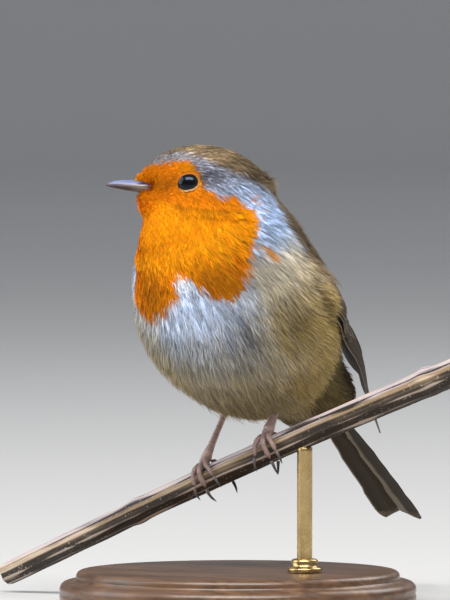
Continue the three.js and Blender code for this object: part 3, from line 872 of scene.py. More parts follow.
def depth_of_orange(way, turn):
    """How deep the orange is; where there is none, how pale the slate and how cold the belly and flank. The
    cold share on the belly and flank is painted cool shade; the lower belly's warmer white is its own colour.
    """
    side = side_of(turn)
    streaks = uneven(way, side, DEEP_STREAKS)
    below = ease(side - np.interp(way, CREASE_WAY, CREASE_TURN), -0.004, 0.008) * ease(way, 0.06, 0.12)
    deep = np.interp(way, DEEP_WAY, DEEP) * lerp(1.0, 0.3, below * ease(0.26 - way, 0, 0.03))
    deep = deep * (1 - 0.6 * patch(way, side, *BROW))
    deep = np.clip(deep + 0.22 * streaks * ease(way, 0.2, 0.26), 0, 1)
    far = ease(np.abs(turn % 1.0 - BELLY_MIDDLE), 0.05, 0.11)
    # painted cool shade on the upper belly and the flank, fading to the lower belly's own warm white
    cold = ease(way, 0.17, 0.27) * (1 - ease(way + 0.05 * far, 0.40, 0.6))
    cold = cold + 0.1 * streaks * ease(way, 0.4, 0.5)
    cold = cold + 0.35 * patch(way, side, *COLD_FLANK) - 0.35 * patch(way, side, *WARM_NOTCH)
    cold = cold * (1 - gilt_of(way, side))
    return lerp(np.clip(cold, 0, 1), deep, markings(way, turn)[..., 0])


# ---------- Plumage ----------

# Where each piece of the coat grows. Edges are in way and in turn from the back.
CROWN_EDGE_WAY = (0.0, 0.06, 0.13, 0.2, 0.3)
CROWN_EDGE_TURN = (0.0, 0.1, 0.16, 0.19, 0.19)
THROAT_END, CROWN_END, BREAST_END = 0.245, 0.3, 0.44
RUMP_START, VENT_START = 0.62, 0.72
MANTLE_EDGE, RUMP_EDGE, FACE_EDGE, FLANK_EDGE = 0.165, 0.22, 0.33, 0.355


def zone_of(way, turn):
    side = side_of(turn)
    crown = side < np.interp(way, CROWN_EDGE_WAY, CROWN_EDGE_TURN)
    flank = (way >= BREAST_END) & (side < FLANK_EDGE)
    names = np.full(way.shape, "coat_belly", dtype=object)
    names[flank & (turn < 0.5)] = "coat_flank_left"
    names[flank & (turn >= 0.5)] = "coat_flank_right"
    names[(way >= VENT_START) & (side >= RUMP_EDGE)] = "coat_vent"
    names[way < BREAST_END] = "coat_breast"
    names[(way >= CROWN_END) & (side < MANTLE_EDGE)] = "coat_mantle"
    names[(way >= RUMP_START) & (side < RUMP_EDGE)] = "coat_rump"
    names[(way < CROWN_END) & crown] = "coat_crown"
    names[(way < THROAT_END) & ~crown] = "coat_throat"
    names[(way < THROAT_END) & ~crown & (side < FACE_EDGE)] = "coat_face"
    return names


# For each piece: plumes, barbs in each, joints in each barb, the barb's width and the plume's
# half width in millimetres, and its record slot.
COATS = {
    "coat_face": (10800, 6, 3, 0.09, 0.24, "plumage_orange"),
    "coat_throat": (10800, 6, 3, 0.1, 0.3, "plumage_orange"),
    "coat_crown": (9400, 6, 3, 0.1, 0.28, "plumage_brown"),
    "coat_breast": (5600, 7, 4, 0.125, 0.6, "plumage_orange"),
    "coat_belly": (5600, 7, 4, 0.13, 1.2, "plumage_pale"),
    "coat_flank_left": (5600, 7, 4, 0.125, 1.1, "plumage_pale"),
    "coat_flank_right": (3200, 7, 4, 0.16, 1.1, "plumage_pale"),
    "coat_mantle": (4300, 7, 4, 0.16, 1.0, "plumage_brown"),
    "coat_rump": (2200, 7, 4, 0.2, 1.1, "plumage_brown"),
    "coat_vent": (2600, 7, 4, 0.17, 1.2, "plumage_pale"),
}
OVER_WING_WAY = (0.44, 0.49, 0.52, 0.55, 0.6)
OVER_WING = (2.6, 2.2, 1.5, 0.8, 0.4)  # plumes that reach over the wing lie this far under the frame's wing
LENGTH_WAY = (0.0, 0.05, 0.12, 0.2, 0.27, 0.35, 0.45, 0.6, 0.75, 0.85, 1.0)
LENGTH = (1.0, 1.2, 1.7, 2.3, 3.4, 4.6, 6.0, 7.5, 8.0, 9.0, 9.0)
TUFT_PATCH = 0.003  # the size of one plume's place on the bake map
BILL_CLEAR = 1.9  # no plume grows nearer than this to the bill's axis
BILL_BACK = -6.0  # behind this, along the bill's axis, places count as the skull's
COAT_END = 0.985  # no plume is rooted nearer to the tail than this
BIB_DENSER = 1.5  # how much denser plumes stand where the throat runs on into the breast
SHOWN = 0.7  # the share of its length at which a plume takes its colour
LEAST_BARB = 0.15  # shorter barbs are left out


def bill_distance(points):
    """How far points lie from the bill's axis, where they are in front of the skull."""
    root, tip = bill_ends()
    way = unit(tip - root)
    along = (points - root) @ way
    away = np.linalg.norm(points - root - along[..., None] * way, axis=-1)
    return np.where(along > BILL_BACK, away, np.inf)


@functools.cache
def bill_ends():
    """The middles of the bill's root and tip."""
    corners = np.vstack([solid("bill_upper")[0], solid("bill_lower")[0]])
    forward = corners @ HEAD_FORWARD
    root = corners[forward < forward.min() + 0.5].mean(0)
    tip = corners[forward > forward.max() - 0.5].mean(0)
    return root, tip


def sow(count, zone, rng):
    """Root places for a piece's plumes, spread evenly over its part of the pelt."""
    form = pelt()
    weight = form.area * (zone_of(form.way, form.turn) == zone)
    weight[form.under_wing > wing_overlap(form.way, form.turn)] = 0.0
    weight[form.way > COAT_END] = 0.0
    weight *= 1 + BIB_DENSER * ease(CROWN_END - form.way, 0, 0.04) * (form.way > THROAT_END)
    shares = np.cumsum(weight.ravel()) / weight.sum()
    chosen = np.searchsorted(shares, (np.arange(count) + rng.uniform(0, 1, count)) / count)
    rows, columns = np.unravel_index(np.minimum(chosen, weight.size - 1), weight.shape)
    way = (rows + rng.uniform(-0.5, 0.5, count)) / (ROWS - 1)
    turn = ((columns + rng.uniform(-0.5, 0.5, count)) / COLUMNS) % 1.0
    return np.clip(way, 0.0, 1.0), turn


def wing_overlap(way, turn):
    """How far plumes rooted at a place may reach over the wing."""
    side = side_of(turn)
    scapular = lerp(5.5, 0.8, ease(way, 0.43, 0.53))
    flank = lerp(7.0, 3.0, ease(way, 0.41, 0.5))
    return np.where(side < 0.17, scapular, flank)


def lean_of(way, turn):
    """The angle, in degrees, that the lie turns from straight towards the tail; positive goes to the belly on
    the robin's left and to the back on its right."""
    side = side_of(turn)
    cheek = 22 * ease(way, 0.08, 0.18) * ease(0.3 - way, 0, 0.06) * ease(side, 0.25, 0.33)
    scapular = 24 * ease(way, 0.36, 0.45) * ease(0.68 - way, 0, 0.1) * ease(0.15 - side, 0, 0.08)
    flank = -16 * ease(way, 0.42, 0.5) * ease(side, 0.17, 0.2) * ease(0.33 - side, 0, 0.05)
    return (cheek + scapular + flank) * np.where(turn < 0.5, 1, -1)


def length_at(way):
    return np.interp(way, LENGTH_WAY, LENGTH) * settings("robin_plumage").length


def loft_of(way, turn, rng):
    """How far plumes stand up from the lie: more beside the cheek's crease, and strays at the loose places,
    which are the nape, the belly's bottom, the bill's root and the chin."""
    side = side_of(turn)
    loft = rng.normal(1.0, 0.06, len(way))
    over_crease = np.interp(way, CREASE_WAY, CREASE_TURN) - side
    ridge = 0.4 * ease(over_crease, -0.004, 0.004) * ease(0.05 - over_crease, 0, 0.04)
    loft += ridge * ease(way, 0.14, 0.18) * ease(0.275 - way, 0, 0.02)
    loose = patch(way, side, (0.24, 0.05), (0.02, 0.05))
    loose += 0.35 * ease(way, 0.56, 0.62) * ease(0.72 - way, 0, 0.06) * ease(side, 0.34, 0.4)
    loose += ease(0.05 - way, 0, 0.03)
    loose += 1.1 * patch(way, side, (0.065, 0.47), (0.03, 0.08))
    return loft + rng.uniform(0, 2.0, len(way)) * loose * (rng.uniform(0, 1, len(way)) < 0.22)


def plume_colours(way, turn, length, rng):
    """The markings, the painted light and shade, varied at random, and the depth of colour of each plume,
    which are those under its outer part.
    """
    form, count = pelt(), len(way)
    ahead = length * SHOWN + rng.normal(0, 0.35, count)
    shown = form.walk(way, turn, ahead, rng.normal(0, 0.4, count))
    shades = markings(*shown)
    vary = np.interp(way, (0.1, 0.3, 0.5), (0.34, 0.24, 0.16)) * lerp(1.0, 0.7, shades[:, 0])
    # the painted light and shade, varied at random from plume to plume
    painted_light_and_tone = light_of(*form.walk(way, turn, length * SHOWN, 0.0)) * (1 + vary * rng.uniform(-1, 1, count))
    deep = depth_of_orange(*shown) + rng.normal(0, 0.14, count) * ease(way, 0.34, 0.42)
    return shades, painted_light_and_tone, np.clip(deep, 0, 1)


def grow_plumes(batch, way, turn, shape, rng):
    """Adds plumes rooted at the places given, each a fan of thin, tapering barbs that lie along the body."""
    form = pelt()
    barbs, joints, width, spread = shape
    count, side = len(way), side_of(turn)
    length = length_at(way) * rng.uniform(0.8, 1.2, count)
    length *= lerp(1.0, 0.75, ease(0.12 - side, 0, 0.1) * ease(way, 0.3, 0.4))
    lean = np.radians(lean_of(way, turn) + rng.normal(0, 6, count))
    loft = loft_of(way, turn, rng)
    colours = plume_colours(way, turn, length, rng)
    last = np.where(side > 0.17, 0.47, 0.56)  # plumes rooted beyond this no longer ride up on the wing
    riding = 1 - ease(way - last, 0.0, 0.06)
    wild = ease(way, 0.36, 0.46)
    plumes = (way, turn, length, lean, loft, riding, wild, *colours)
    each = (np.repeat(values, barbs, axis=0) for values in plumes)
    way, turn, length, lean, loft, riding, wild, *colours = each
    fan = np.tile(np.linspace(-1, 1, barbs), count) + rng.normal(0, 0.12, count * barbs)
    reach = length * (1 - 0.3 * fan**2) * rng.uniform(0.85, 1.12, len(fan))
    curl = rng.normal(0, 0.12, len(fan)) * spread
    stray = rng.normal(0, 0.05, len(fan))
    stray += (rng.uniform(0, 1, len(fan)) < 0.05 + 0.04 * wild) * (0.3 + 0.3 * wild)
    shares = np.linspace(0, 1, joints) ** 0.9
    at_way, at_turn = way, turn
    lines, before, offset_before = [], 0.0, 0.0
    for share in shares:
        along = reach * (share - before)
        offset = fan * spread * share**0.75 * (1 - 0.2 * share) + curl * share**2 * 3
        aside = along * np.sin(lean) + (offset - offset_before)
        at_way, at_turn = form.walk(at_way, at_turn, along * np.cos(lean), aside)
        before, offset_before = share, offset
        rise = (1 - (1 - share) ** 2.2) * loft + stray * share
        wing = form.read(form.cover, at_way, at_turn) - np.interp(at_way, OVER_WING_WAY, OVER_WING)
        over = np.maximum(wing, 0) * ease(share, 0.0, 0.4) * riding
        lines.append(form.at(at_way, at_turn, form.read(form.depth, at_way, at_turn) * (rise - 1.0) + over))
    lines = clear_of_eyes(np.stack(lines, 1))
    width = width * np.minimum(1.0, reach / 3.0) ** 0.35
    add_barbs(batch, lines, shares, rng, (width, way, turn, fan, *colours))


def clear_of_eyes(lines):
    """Shortens barbs that would reach over an eye."""
    for eye in eyes():
        away, angle, height = eye.seen(lines)
        room = lerp(0.25, 0.02, ease(np.sin(angle), 0.1, 0.5))
        over = ((away < room) & (height > 0)).any(1)
        close = over & ((away[:, 0] < room[:, 0]) & (height[:, 0] > 0))
        root = lines[:, :1]
        lines[over] = root[over] + (lines[over] - root[over]) * 0.3
        away, angle, height = eye.seen(lines)
        still = ((away < lerp(0.1, 0.0, ease(np.sin(angle), 0.1, 0.5))) & (height > 0)).any(1)
        lines[still | close] = root[still | close]
    return lines


def add_barbs(batch, lines, shares, rng, barbs):
    """Ribbons along the lines, each drawn out to a point, with their bake places and shades."""
    keep = np.linalg.norm(lines[:, -1] - lines[:, 0], axis=1) > LEAST_BARB
    lines = lines[keep]
    width, way, turn, fan, shades, painted_light_and_tone, deep = (values[keep] for values in barbs)
    count, joints = lines.shape[:2]
    form = pelt()
    outwards = unit(form.read(form.normal, way, turn))[:, None]
    heading = unit(np.gradient(lines, axis=1))
    side = unit(np.cross(heading, outwards))
    roll = rng.normal(0, 0.45, count)[:, None, None]
    side = np.cos(roll) * side + np.sin(roll) * np.cross(side, heading)
    taper = np.interp(shares, (0, 0.3, 0.75, 1), (0.6, 1.0, 0.75, 0.0))
    half = side * (width[:, None] * taper[None] / 2)[..., None]
    pairs = np.stack([lines[:, :-1] - half[:, :-1], lines[:, :-1] + half[:, :-1]], 2)
    points = np.concatenate([pairs.reshape(count, -1, 3), lines[:, -1:]], 1)
    per = 2 * (joints - 1) + 1
    first = (np.arange(count) * per)[:, None]
    quads = [first + np.array([[0, 1, 3, 2]]) + 2 * joint for joint in range(joints - 2)]
    tips = first + np.array([[per - 3, per - 2, per - 1]])
    along = np.concatenate([np.repeat(shares[:-1], 2), shares[-1:]])
    u = turn[:, None] + fan[:, None] * TUFT_PATCH * 0.35 + 0 * along
    v = way[:, None] + (along[None] - 0.5) * TUFT_PATCH
    bake = np.stack([np.clip(u, TUFT_PATCH, 1 - TUFT_PATCH), np.clip(v, 0.0, 1.0)], -1)
    tints = channels(painted_light_and_tone[:, None], along[None], rng.uniform(0, 1, count)[:, None], deep[:, None])
    marks = np.repeat(shades[:, None], per, 1)
    batch.add(points, [np.concatenate(quads), tips], bake, markings=marks, tint=tints)


def plumage_finish(name, chosen, roughness):
    """Feather colour: the markings' shares mix the coat's colours; each plume is darkened and lightened by
    its painted light and shade, varied at random, and is darker at its root."""
    finish = Finish(name, Roughness=roughness, Specular_IOR_Level=0.08)
    orange, slate, white, buff = finish.mark("markings")
    painted_light_and_tone, along, barb, deep = finish.mark("tint")
    orange = finish.spread(orange, 0.25, 0.75)
    patches = finish.spread(finish.noise(260.0, 2.0), 0.35, 0.65)
    root = finish.mix(orange, (0.42, 0.42, 0.42), (0.68, 0.68, 0.68))
    depth = finish.spread(along, 0.05, 0.5, root, 1.0)
    deeper = finish.maths("MAXIMUM", deep, finish.spread(depth, 0.5, 1.0, 0.9, 0.0))
    colour = finish.mix(patches, chosen.olive, chosen.olive_warm)
    for share, lean, shallow, full in (
        (slate, deep, chosen.slate, chosen.slate_pale),
        (buff, deep, chosen.buff, chosen.buff_grey),
        (white, deep, chosen.white_warm, chosen.white),
        (orange, deeper, chosen.orange, chosen.orange_deep),
    ):
        colour = finish.mix(share, colour, finish.mix(lean, shallow, full))
    # each barb's colour times the painted light and shade, its own random lightness and its darker root
    light = finish.times(painted_light_and_tone, finish.times(finish.spread(barb, 0, 1, 0.82, 1.16), depth))
    finish.colour(finish.lit(colour, light))
    return finish.material


# ---------- Properties ----------


class RobinPlumage(bpy.types.PropertyGroup):
    """Sizes and colours of the body plumage."""

    length: scale_of("Length", "Scale of every plume's length")
    density: scale_of("Density", "Scale of the number of plumes")
    seed: IntProperty(name="Seed", description="Draws the same coat each time", default=7)
    orange: colour_of("Orange", "Face and bib", (0.86, 0.355, 0.002))
    orange_deep: colour_of("Deep Orange", "Cheeks and the bib's lower edge", (0.7, 0.18, 0.002))
    olive: colour_of("Olive", "Crown and back", (0.2, 0.145, 0.085))
    olive_warm: colour_of("Warm Olive", "Lighter feathers of crown and back", (0.28, 0.2, 0.115))
    slate: colour_of("Slate", "Band behind the eye", (0.31, 0.33, 0.41))
    slate_pale: colour_of("Pale Slate", "Collar and belly shading", (0.41, 0.525, 0.73))
    # A bluish white, partly a painted cast of cool sky light.
    white: colour_of("White", "Belly", (0.62, 0.73, 0.93))
    white_warm: colour_of("Warm White", "Lower belly", (0.78, 0.66, 0.42))
    buff: colour_of("Buff", "Flanks", (0.44, 0.315, 0.11))
    buff_grey: colour_of("Grey Buff", "Flank shading", (0.5, 0.47, 0.4))


class RobinFlight(bpy.types.PropertyGroup):
    """Colours of the wings and the tail."""

    vane: colour_of("Vane", "Inner webs of the flight feathers", (0.038, 0.027, 0.018))
    fringe: colour_of("Fringe", "Outer webs and edges", (0.46, 0.37, 0.26))
    covert: colour_of("Coverts", "Small feathers of the wing", (0.13, 0.092, 0.052))
    covert_edge: colour_of("Covert Edge", "Edges of the small feathers", (0.2, 0.145, 0.08))
    shaft: colour_of("Shaft", "Feather shafts", (0.05, 0.032, 0.02))


class RobinBareParts(bpy.types.PropertyGroup):
    """Colours of the bill, the eyes and the feet."""

    # The upper bill's bluish slate: partly its own colour, partly a painted reflection of the sky.
    horn_and_sky_reflection: colour_of("Horn", "Upper bill", (0.16, 0.2, 0.38))
    horn_brown: colour_of("Brown Horn", "Lower bill", (0.045, 0.018, 0.012))
    horn_pale: colour_of("Pale Horn", "Cutting edges and the lower bill's root", (0.52, 0.44, 0.36))
    horn_dark: colour_of("Dark Horn", "Nostrils and stains", (0.03, 0.012, 0.02))
    eye: colour_of("Eye", "Pupil", (0.003, 0.003, 0.004))
    iris: colour_of("Iris", "Ring round the pupil", (0.016, 0.009, 0.006))
    lid: colour_of("Lid", "Rim of the eye", (0.52, 0.24, 0.025))
    lid_brow: colour_of("Upper Lid", "The upper lids, like the feathers over them", (0.42, 0.12, 0.003))
    lid_pale: colour_of("Pale Lid", "Bare plumes along the lids", (0.88, 0.66, 0.36))
    lid_edge: colour_of("Lid Edge", "Wet edge of the lids", (0.05, 0.03, 0.02))
    leg: colour_of("Leg", "Shanks", (0.66, 0.46, 0.4))
    toe: colour_of("Toe", "Toes", (0.3, 0.2, 0.18))
    leg_dark: colour_of("Dark Leg", "Creases between scales", (0.05, 0.03, 0.024))
    claw: colour_of("Claw", "Claws", (0.03, 0.028, 0.032))
    claw_root: colour_of("Claw Root", "Root of the claws", (0.12, 0.1, 0.1))


class RobinStand(bpy.types.PropertyGroup):
    """Colours of the stem and the display stand."""

    # The underside's dark brown: partly the stem's own colour, partly painted shade.
    stem: colour_of("Stem", "Underside of the dry stem", (0.034, 0.023, 0.014))
    stem_tan: colour_of("Tan Stem", "Sides of the dry stem", (0.27, 0.185, 0.1))
    # Painted shade in the grooves and the long split.
    stem_groove_shade: colour_of("Groove", "Grooves of the dry stem", (0.02, 0.012, 0.008))
    # Pale specks and pith, and the painted highlights on the crests.
    stem_pale_and_highlight: colour_of("Light Stem", "Worn crests and pith", (0.62, 0.5, 0.4))
    # The upper side's grey: partly weathering, partly painted highlight where light falls from above.
    stem_weathered_and_highlit: colour_of("Grey Stem", "Weathered upper side", (0.5, 0.42, 0.43))
    wood: colour_of("Wood", "Turned base", (0.17, 0.085, 0.04))
    wood_dark: colour_of("Dark Wood", "Grain of the base", (0.07, 0.032, 0.014))
    brass: colour_of("Brass", "Rod and collar", (0.62, 0.44, 0.2))
    brass_dull: colour_of("Dull Brass", "Tarnish", (0.33, 0.22, 0.1))


class RobinStudio(bpy.types.PropertyGroup):
    """Floor, light and view."""

    paper: colour_of("Paper", "Seamless floor and backdrop", (0.52, 0.515, 0.51))
    key: power_of("Key", "Main light", 30.0)
    fill: power_of("Fill", "Second and back lights", 7.0)
    azimuth: angle_of("Azimuth", "View round the robin", 35)
    elevation: angle_of("Elevation", "View above the level", 2)
    frame_height: length_of("Frame Height", "Height of the view at the robin", 141.0)


SETTINGS = {
    "robin_plumage": RobinPlumage,
    "robin_flight": RobinFlight,
    "robin_bare": RobinBareParts,
    "robin_stand": RobinStand,
    "robin_studio": RobinStudio,
}


def settings(name):
    return getattr(bpy.context.scene, name)


# ---------- Skin ----------


SOCKET_SUNK = 0.5  # how far the skin behind an eye lies inside the globe
RIM_DEPTH = 0.2  # how far the skin's edge beside the lids lies under the plumage's outer form


def make_skin():
    form = pelt()
    points = form.outer - form.normal * form.depth[..., None]
    for eye in eyes():
        away, _, height = eye.seen(points)
        inside = (away < 0.25) & (height > 0)
        sunk = eye.centre + unit(points - eye.centre) * (eye.radius - SOCKET_SUNK)
        points = np.where(inside[..., None], sunk, points)
        rim = ease(1.4 - away, 0, 1.2) * (height > 0) * ~inside
        points = points + form.normal * (rim * (form.depth - RIM_DEPTH))[..., None]
    shades = markings(form.way, form.turn)
    # the skin under the plumage carries the same painted light and shade
    tints = channels(light_of(form.way, form.turn), 0.3, 0.4, depth_of_orange(form.way, form.turn))
    bake = np.stack([form.turn, form.way], -1)
    batch = Batch()
    batch.add(
        np.vstack([points.reshape(-1, 3), points[0].mean(0), points[-1].mean(0)]),
        closed_faces(ROWS, COLUMNS),
        np.vstack([bake.reshape(-1, 2), [[0.5, 0.0], [0.5, 1.0]]]),
        markings=np.vstack([shades.reshape(-1, 4), shades[[0, -1], 0]]),
        tint=np.vstack([tints.reshape(-1, 4), tints[[0, -1], 0]]),
    )
    material = plumage_finish("skin_under_plumage", settings("robin_plumage"), 0.8)
    batch.build("skin", material, "plumage_brown", ("head", "neck", "trunk"), baked=True)


def make_coat():
    chosen = settings("robin_plumage")
    form = pelt()
    finishes = {}
    for index, (name, (plumes, *shape, slot)) in enumerate(COATS.items()):
        rng = np.random.default_rng(chosen.seed * 100 + index)
        way, turn = sow(int(plumes * chosen.density), name, rng)
        free = bill_distance(form.at(way, turn, np.zeros(len(way)))) > BILL_CLEAR
        length = length_at(way)
        tip = form.walk(way, turn, length, length * np.sin(np.radians(lean_of(way, turn))))
        free &= form.read(form.under_wing, *tip) <= wing_overlap(way, turn)
        batch = Batch()
        grow_plumes(batch, way[free], turn[free], shape, rng)
        if slot not in finishes:
            finishes[slot] = plumage_finish(slot, chosen, 0.62)
        batch.build(name, finishes[slot], slot, baked=True)


# ---------- Wings and tail ----------

SHEET_STEP = 0.5
SHEET_ROUNDS, SHEET_SMOOTHING = 500, 12  # rounds that carry a face on past its edges, and that smooth it
SHAFT = 0.09  # how far a feather's shaft stands over its webs
VANE_CROWN = 0.22  # how far its middle stands over its edges
VANE_TILT = 0.06  # how much higher its upper edge lies than its middle
VANE_THICKNESS = 0.13
ROOT_SUNK = 0.25  # how far its root dips under the row before
BARB_SLANT = 0.15  # how far the webs sweep back, for their width
ROOT_WIDTH = 0.45
WAVY = 0.015  # how uneven its edges are
VANE_ACROSS = np.array([-1.0, -0.6, -0.1, 0.0, 0.1, 0.6, 1.0, 0.6, 0.1, -0.1, -0.6])
VANE_UNDER = np.array([0, 0, 0, 0, 0, 0, 0, 1, 1, 1, 1])  # where the corners above lie on the under side
VANE_ROWS = 17
BAKE_CELLS = 12  # feathers lie side by side on the bake map, so many to a row
# How far the wing's feathers lie inside the frame's wing, from its bend to its tip.
SUNK_AHEAD = (0.0, 0.16, 0.2, 0.24, 0.3, 0.5, 0.8)
SUNK = (3.4, 3.0, 2.1, 1.1, 0.1, 0.1, 0.9)
TUCKED = 1.6  # how much further in the wing's front edge lies, under the flank's plumes


def neighbours(field):
    padded = np.pad(field, 1, mode="edge")
    return (padded[:-2, 1:-1] + padded[2:, 1:-1] + padded[1:-1, :-2] + padded[1:-1, 2:]) / 4


class Sheet:
    """The outer face of a folded wing or a tail as heights over a flat grid; x runs towards the tip and y
    across it."""

    def __init__(self, name, ahead, outwards, over):
        corners, _ = solid(name)
        centre = corners.mean(0)
        axes = np.linalg.svd(corners - centre, full_matrices=False)[2]
        self.along = towards(axes[0], ahead)
        self.out = towards(axes[2], outwards)
        self.across = towards(np.cross(self.out, self.along), over)
        self.turned = np.cross(self.along, self.across) @ self.out < 0
        flat = np.stack([(corners - centre) @ self.along, (corners - centre) @ self.across], 1)
        low, high = flat.min(0) - 1.0, flat.max(0) + 1.0
        self.origin = centre + self.along * low[0] + self.across * low[1]
        self.shape = np.ceil((high - low) / SHEET_STEP).astype(int) + 1
        self.heights, met = self.scan(tree_of(name))
        self.length = flat[:, 0].max() - low[0]
        self.start = flat[:, 0].min() - low[0]
        xs = np.arange(self.shape[0]) * SHEET_STEP
        used = met.any(1)
        first = met.argmax(1) * SHEET_STEP
        last = (self.shape[1] - 1 - met[:, ::-1].argmax(1)) * SHEET_STEP
        self.edge_x, self.low_edge, self.high_edge = xs[used], first[used], last[used]
        self.slope = np.gradient(self.heights, SHEET_STEP)

    def scan(self, tree):
        """The face's heights, and where the node itself was met."""
        far = 40.0
        heights = np.full(self.shape, np.nan)
        for i in range(self.shape[0]):
            for j in range(self.shape[1]):
                spot = self.origin + (self.along * i + self.across * j) * SHEET_STEP
                hit = tree.ray_cast(Vector(spot + self.out * far), Vector(-self.out))
                if hit[0] is not None:
                    heights[i, j] = far - hit[3]
        met = ~np.isnan(heights)
        inner = inner_part(met)
        filled = np.where(inner, heights, np.nanmean(heights))
        for _ in range(SHEET_ROUNDS):
            filled = np.where(inner, heights, neighbours(filled))
        for _ in range(SHEET_SMOOTHING):
            filled = neighbours(filled)
        return filled, met

    def spot(self, ahead, across):
        """Where shares of the length and of the width, counted from the lower edge, lie on the flat grid."""
        x = lerp(self.start, self.length, np.asarray(ahead, dtype=float))
        low = np.interp(x, self.edge_x, self.low_edge)
        high = np.interp(x, self.edge_x, self.high_edge)
        return np.stack([x, lerp(low, high, np.asarray(across, dtype=float))], -1)

    def read(self, field, places):
        """A field of the grid at any place on it."""
        at = np.clip(places / SHEET_STEP, 0, self.shape - 1.001)
        cell = at.astype(int)
        i, j = cell[..., 0], cell[..., 1]
        down, over = np.moveaxis(at - cell, -1, 0)
        return sample(field, (i, i + 1), (j, j + 1), down, over)

    def at(self, places, lift):
        """Points over places on the grid, lifted off the face."""
        height = self.read(self.heights, places)
        slope_x, slope_y = (self.read(slope, places)[..., None] for slope in self.slope)
        normal = unit(self.out - self.along * slope_x - self.across * slope_y)
        flat = self.origin + self.along * places[..., :1] + self.across * places[..., 1:]
        return flat + self.out * height[..., None] + normal * np.asarray(lift)[..., None]


def add_vane(batch, sheet, path, webs, lift, kind, rng, blunt=0.22, taper=0.0, wing=False):
    """A thin closed feather along a path of (length, width) shares. webs are the widths of its lower and
    upper halves, blunt is the share of its length that the rounded tip takes, and taper narrows it."""
    share = 1 - (1 - np.linspace(0, 1, VANE_ROWS)) ** 1.5
    root, tip = np.array(path[0]), np.array(path[-1])
    bend = np.array(path[1]) if len(path) == 3 else (root + tip) / 2
    near, between_them, far = (1 - share)[:, None], (share * (1 - share))[:, None], share[:, None]
    line = near**2 * root + 2 * between_them * bend + far**2 * tip
    places = sheet.spot(line[:, 0], line[:, 1])
    way = unit(np.gradient(places, axis=0))
    aside = np.stack([-way[:, 1], way[:, 0]], 1)
    width = lerp(ROOT_WIDTH, 1.0, ease(share, 0.0, 0.35)) * (1 - taper * ease(share, 0.45, 1.0))
    width *= np.sqrt(np.maximum(1 - np.clip((share - 1 + blunt) / blunt, 0, 1) ** 2, 0.0004))
    width *= 1 + WAVY * ripple(share[:, None] * 10, 3.0, int(rng.integers(1 << 30)))
    v, share = VANE_ACROSS[None, :], share[:, None]
    reach = np.where(v < 0, webs[0], webs[1]) * v * width[:, None]
    swept = way[:, None] * (np.abs(reach) * BARB_SLANT)[..., None]
    spread = places[:, None] + aside[:, None] * reach[..., None] - swept
    crown = VANE_CROWN * (1 - v**2) + SHAFT * (v == 0) * (1 - share)
    under = VANE_UNDER[None, :] * VANE_THICKNESS + (np.abs(v) == 1) * VANE_THICKNESS / 2
    tucked = ease(0.3 - line[:, 1:], 0, 0.25) * ease(0.3 - line[:, :1], 0, 0.15)
    sunk = np.interp(line[:, :1], SUNK_AHEAD, SUNK) + TUCKED * tucked if wing else 0.0
    lift = lift - sunk + crown - under + VANE_TILT * v - ROOT_SUNK * (1 - ease(share, 0, 0.3))
    columns = len(VANE_ACROSS)
    groups = [grid_faces(VANE_ROWS, columns, True)[:, ::-1], end_caps(VANE_ROWS, columns)[:, ::-1]]
    if not sheet.turned:
        groups = [faces[:, ::-1] for faces in groups]
    row, column = divmod(len(batch.points), BAKE_CELLS)
    cell = np.array([column, row % BAKE_CELLS]) / BAKE_CELLS
    web = v * 0.5 + 0.5 + 0 * share
    bake = cell + (np.stack([web, share + 0 * v], -1) * 0.84 + 0.08) / BAKE_CELLS
    batch.add(sheet.at(spread, lift), groups, bake, web=channels(web, share, rng.uniform(), kind))


def between(start, end, count):
    """Places spread evenly from one to the other."""
    return [lerp(np.array(start), np.array(end), k / (count - 1)) for k in range(count)]


# The wing's feathers as shares of its length and width: how many, roots from and to, tips from and to,
# widths of the lower and upper webs, lifts from and to, colour kind, blunt and taper. Each row runs from the
# lower edge of the folded wing up to the back.
WING_ROWS = (
    # secondaries, tertials and primary coverts
    (7, (0.16, 0.35), (0.22, 0.75), (0.76, 0.56), (0.72, 0.9), (1.7, 4.2), (-1.15, -0.75), 0.25, 0.16, 0.1),
    (3, (0.2, 0.78), (0.22, 0.92), (0.64, 0.62), (0.5, 0.86), (3.0, 3.6), (-0.62, -0.4), 0.22, 0.12, 0.0),
    (5, (0.12, 0.17), (0.14, 0.3), (0.42, 0.18), (0.46, 0.32), (0.9, 1.6), (-1.1, -0.95), 0.2, 0.4, 0.4),
    # greater, median and lesser coverts
    (8, (0.14, 0.3), (0.16, 0.88), (0.43, 0.3), (0.38, 0.9), (1.2, 1.7), (-0.75, -0.28), 0.18, 0.1, 0.0),
    (8, (0.08, 0.22), (0.1, 0.86), (0.3, 0.2), (0.26, 0.9), (1.3, 1.5), (-0.5, -0.12), 0.22, 0.1, 0.0),
    (9, (0.045, 0.18), (0.055, 0.84), (0.225, 0.14), (0.19, 0.92), (1.5, 1.6), (-0.34, 0.0), 0.3, 0.1, 0.0),
    (8, (0.02, 0.2), (0.03, 0.8), (0.165, 0.16), (0.14, 0.88), (1.4, 1.5), (-0.2, 0.08), 0.3, 0.1, 0.0),
    (7, (0.005, 0.25), (0.01, 0.75), (0.11, 0.2), (0.09, 0.85), (1.3, 1.4), (-0.1, 0.14), 0.3, 0.1, 0.0),
)
# The primaries fan out from a narrow stack: how far each one's tip reaches, and the first and the last one's
# heights, lift and webs.
PRIMARY_TIPS = (0.83, 0.935, 0.97, 0.98, 0.97, 0.945, 0.91, 0.875, 0.845)
PRIMARY = {"root": (0.14, 0.36), "bend": (0.17, 0.42), "tip": (0.12, 0.62), "lift": (-1.75, -1.2)}
PRIMARY_WEBS = ((1.0, 3.0), (1.5, 4.2))
BACK_AND_DOWN = np.array([0.0, 1.0, -1.0])  # the way that wings and tail point
TIP_JITTER, LIFT_JITTER = 0.006, 0.02


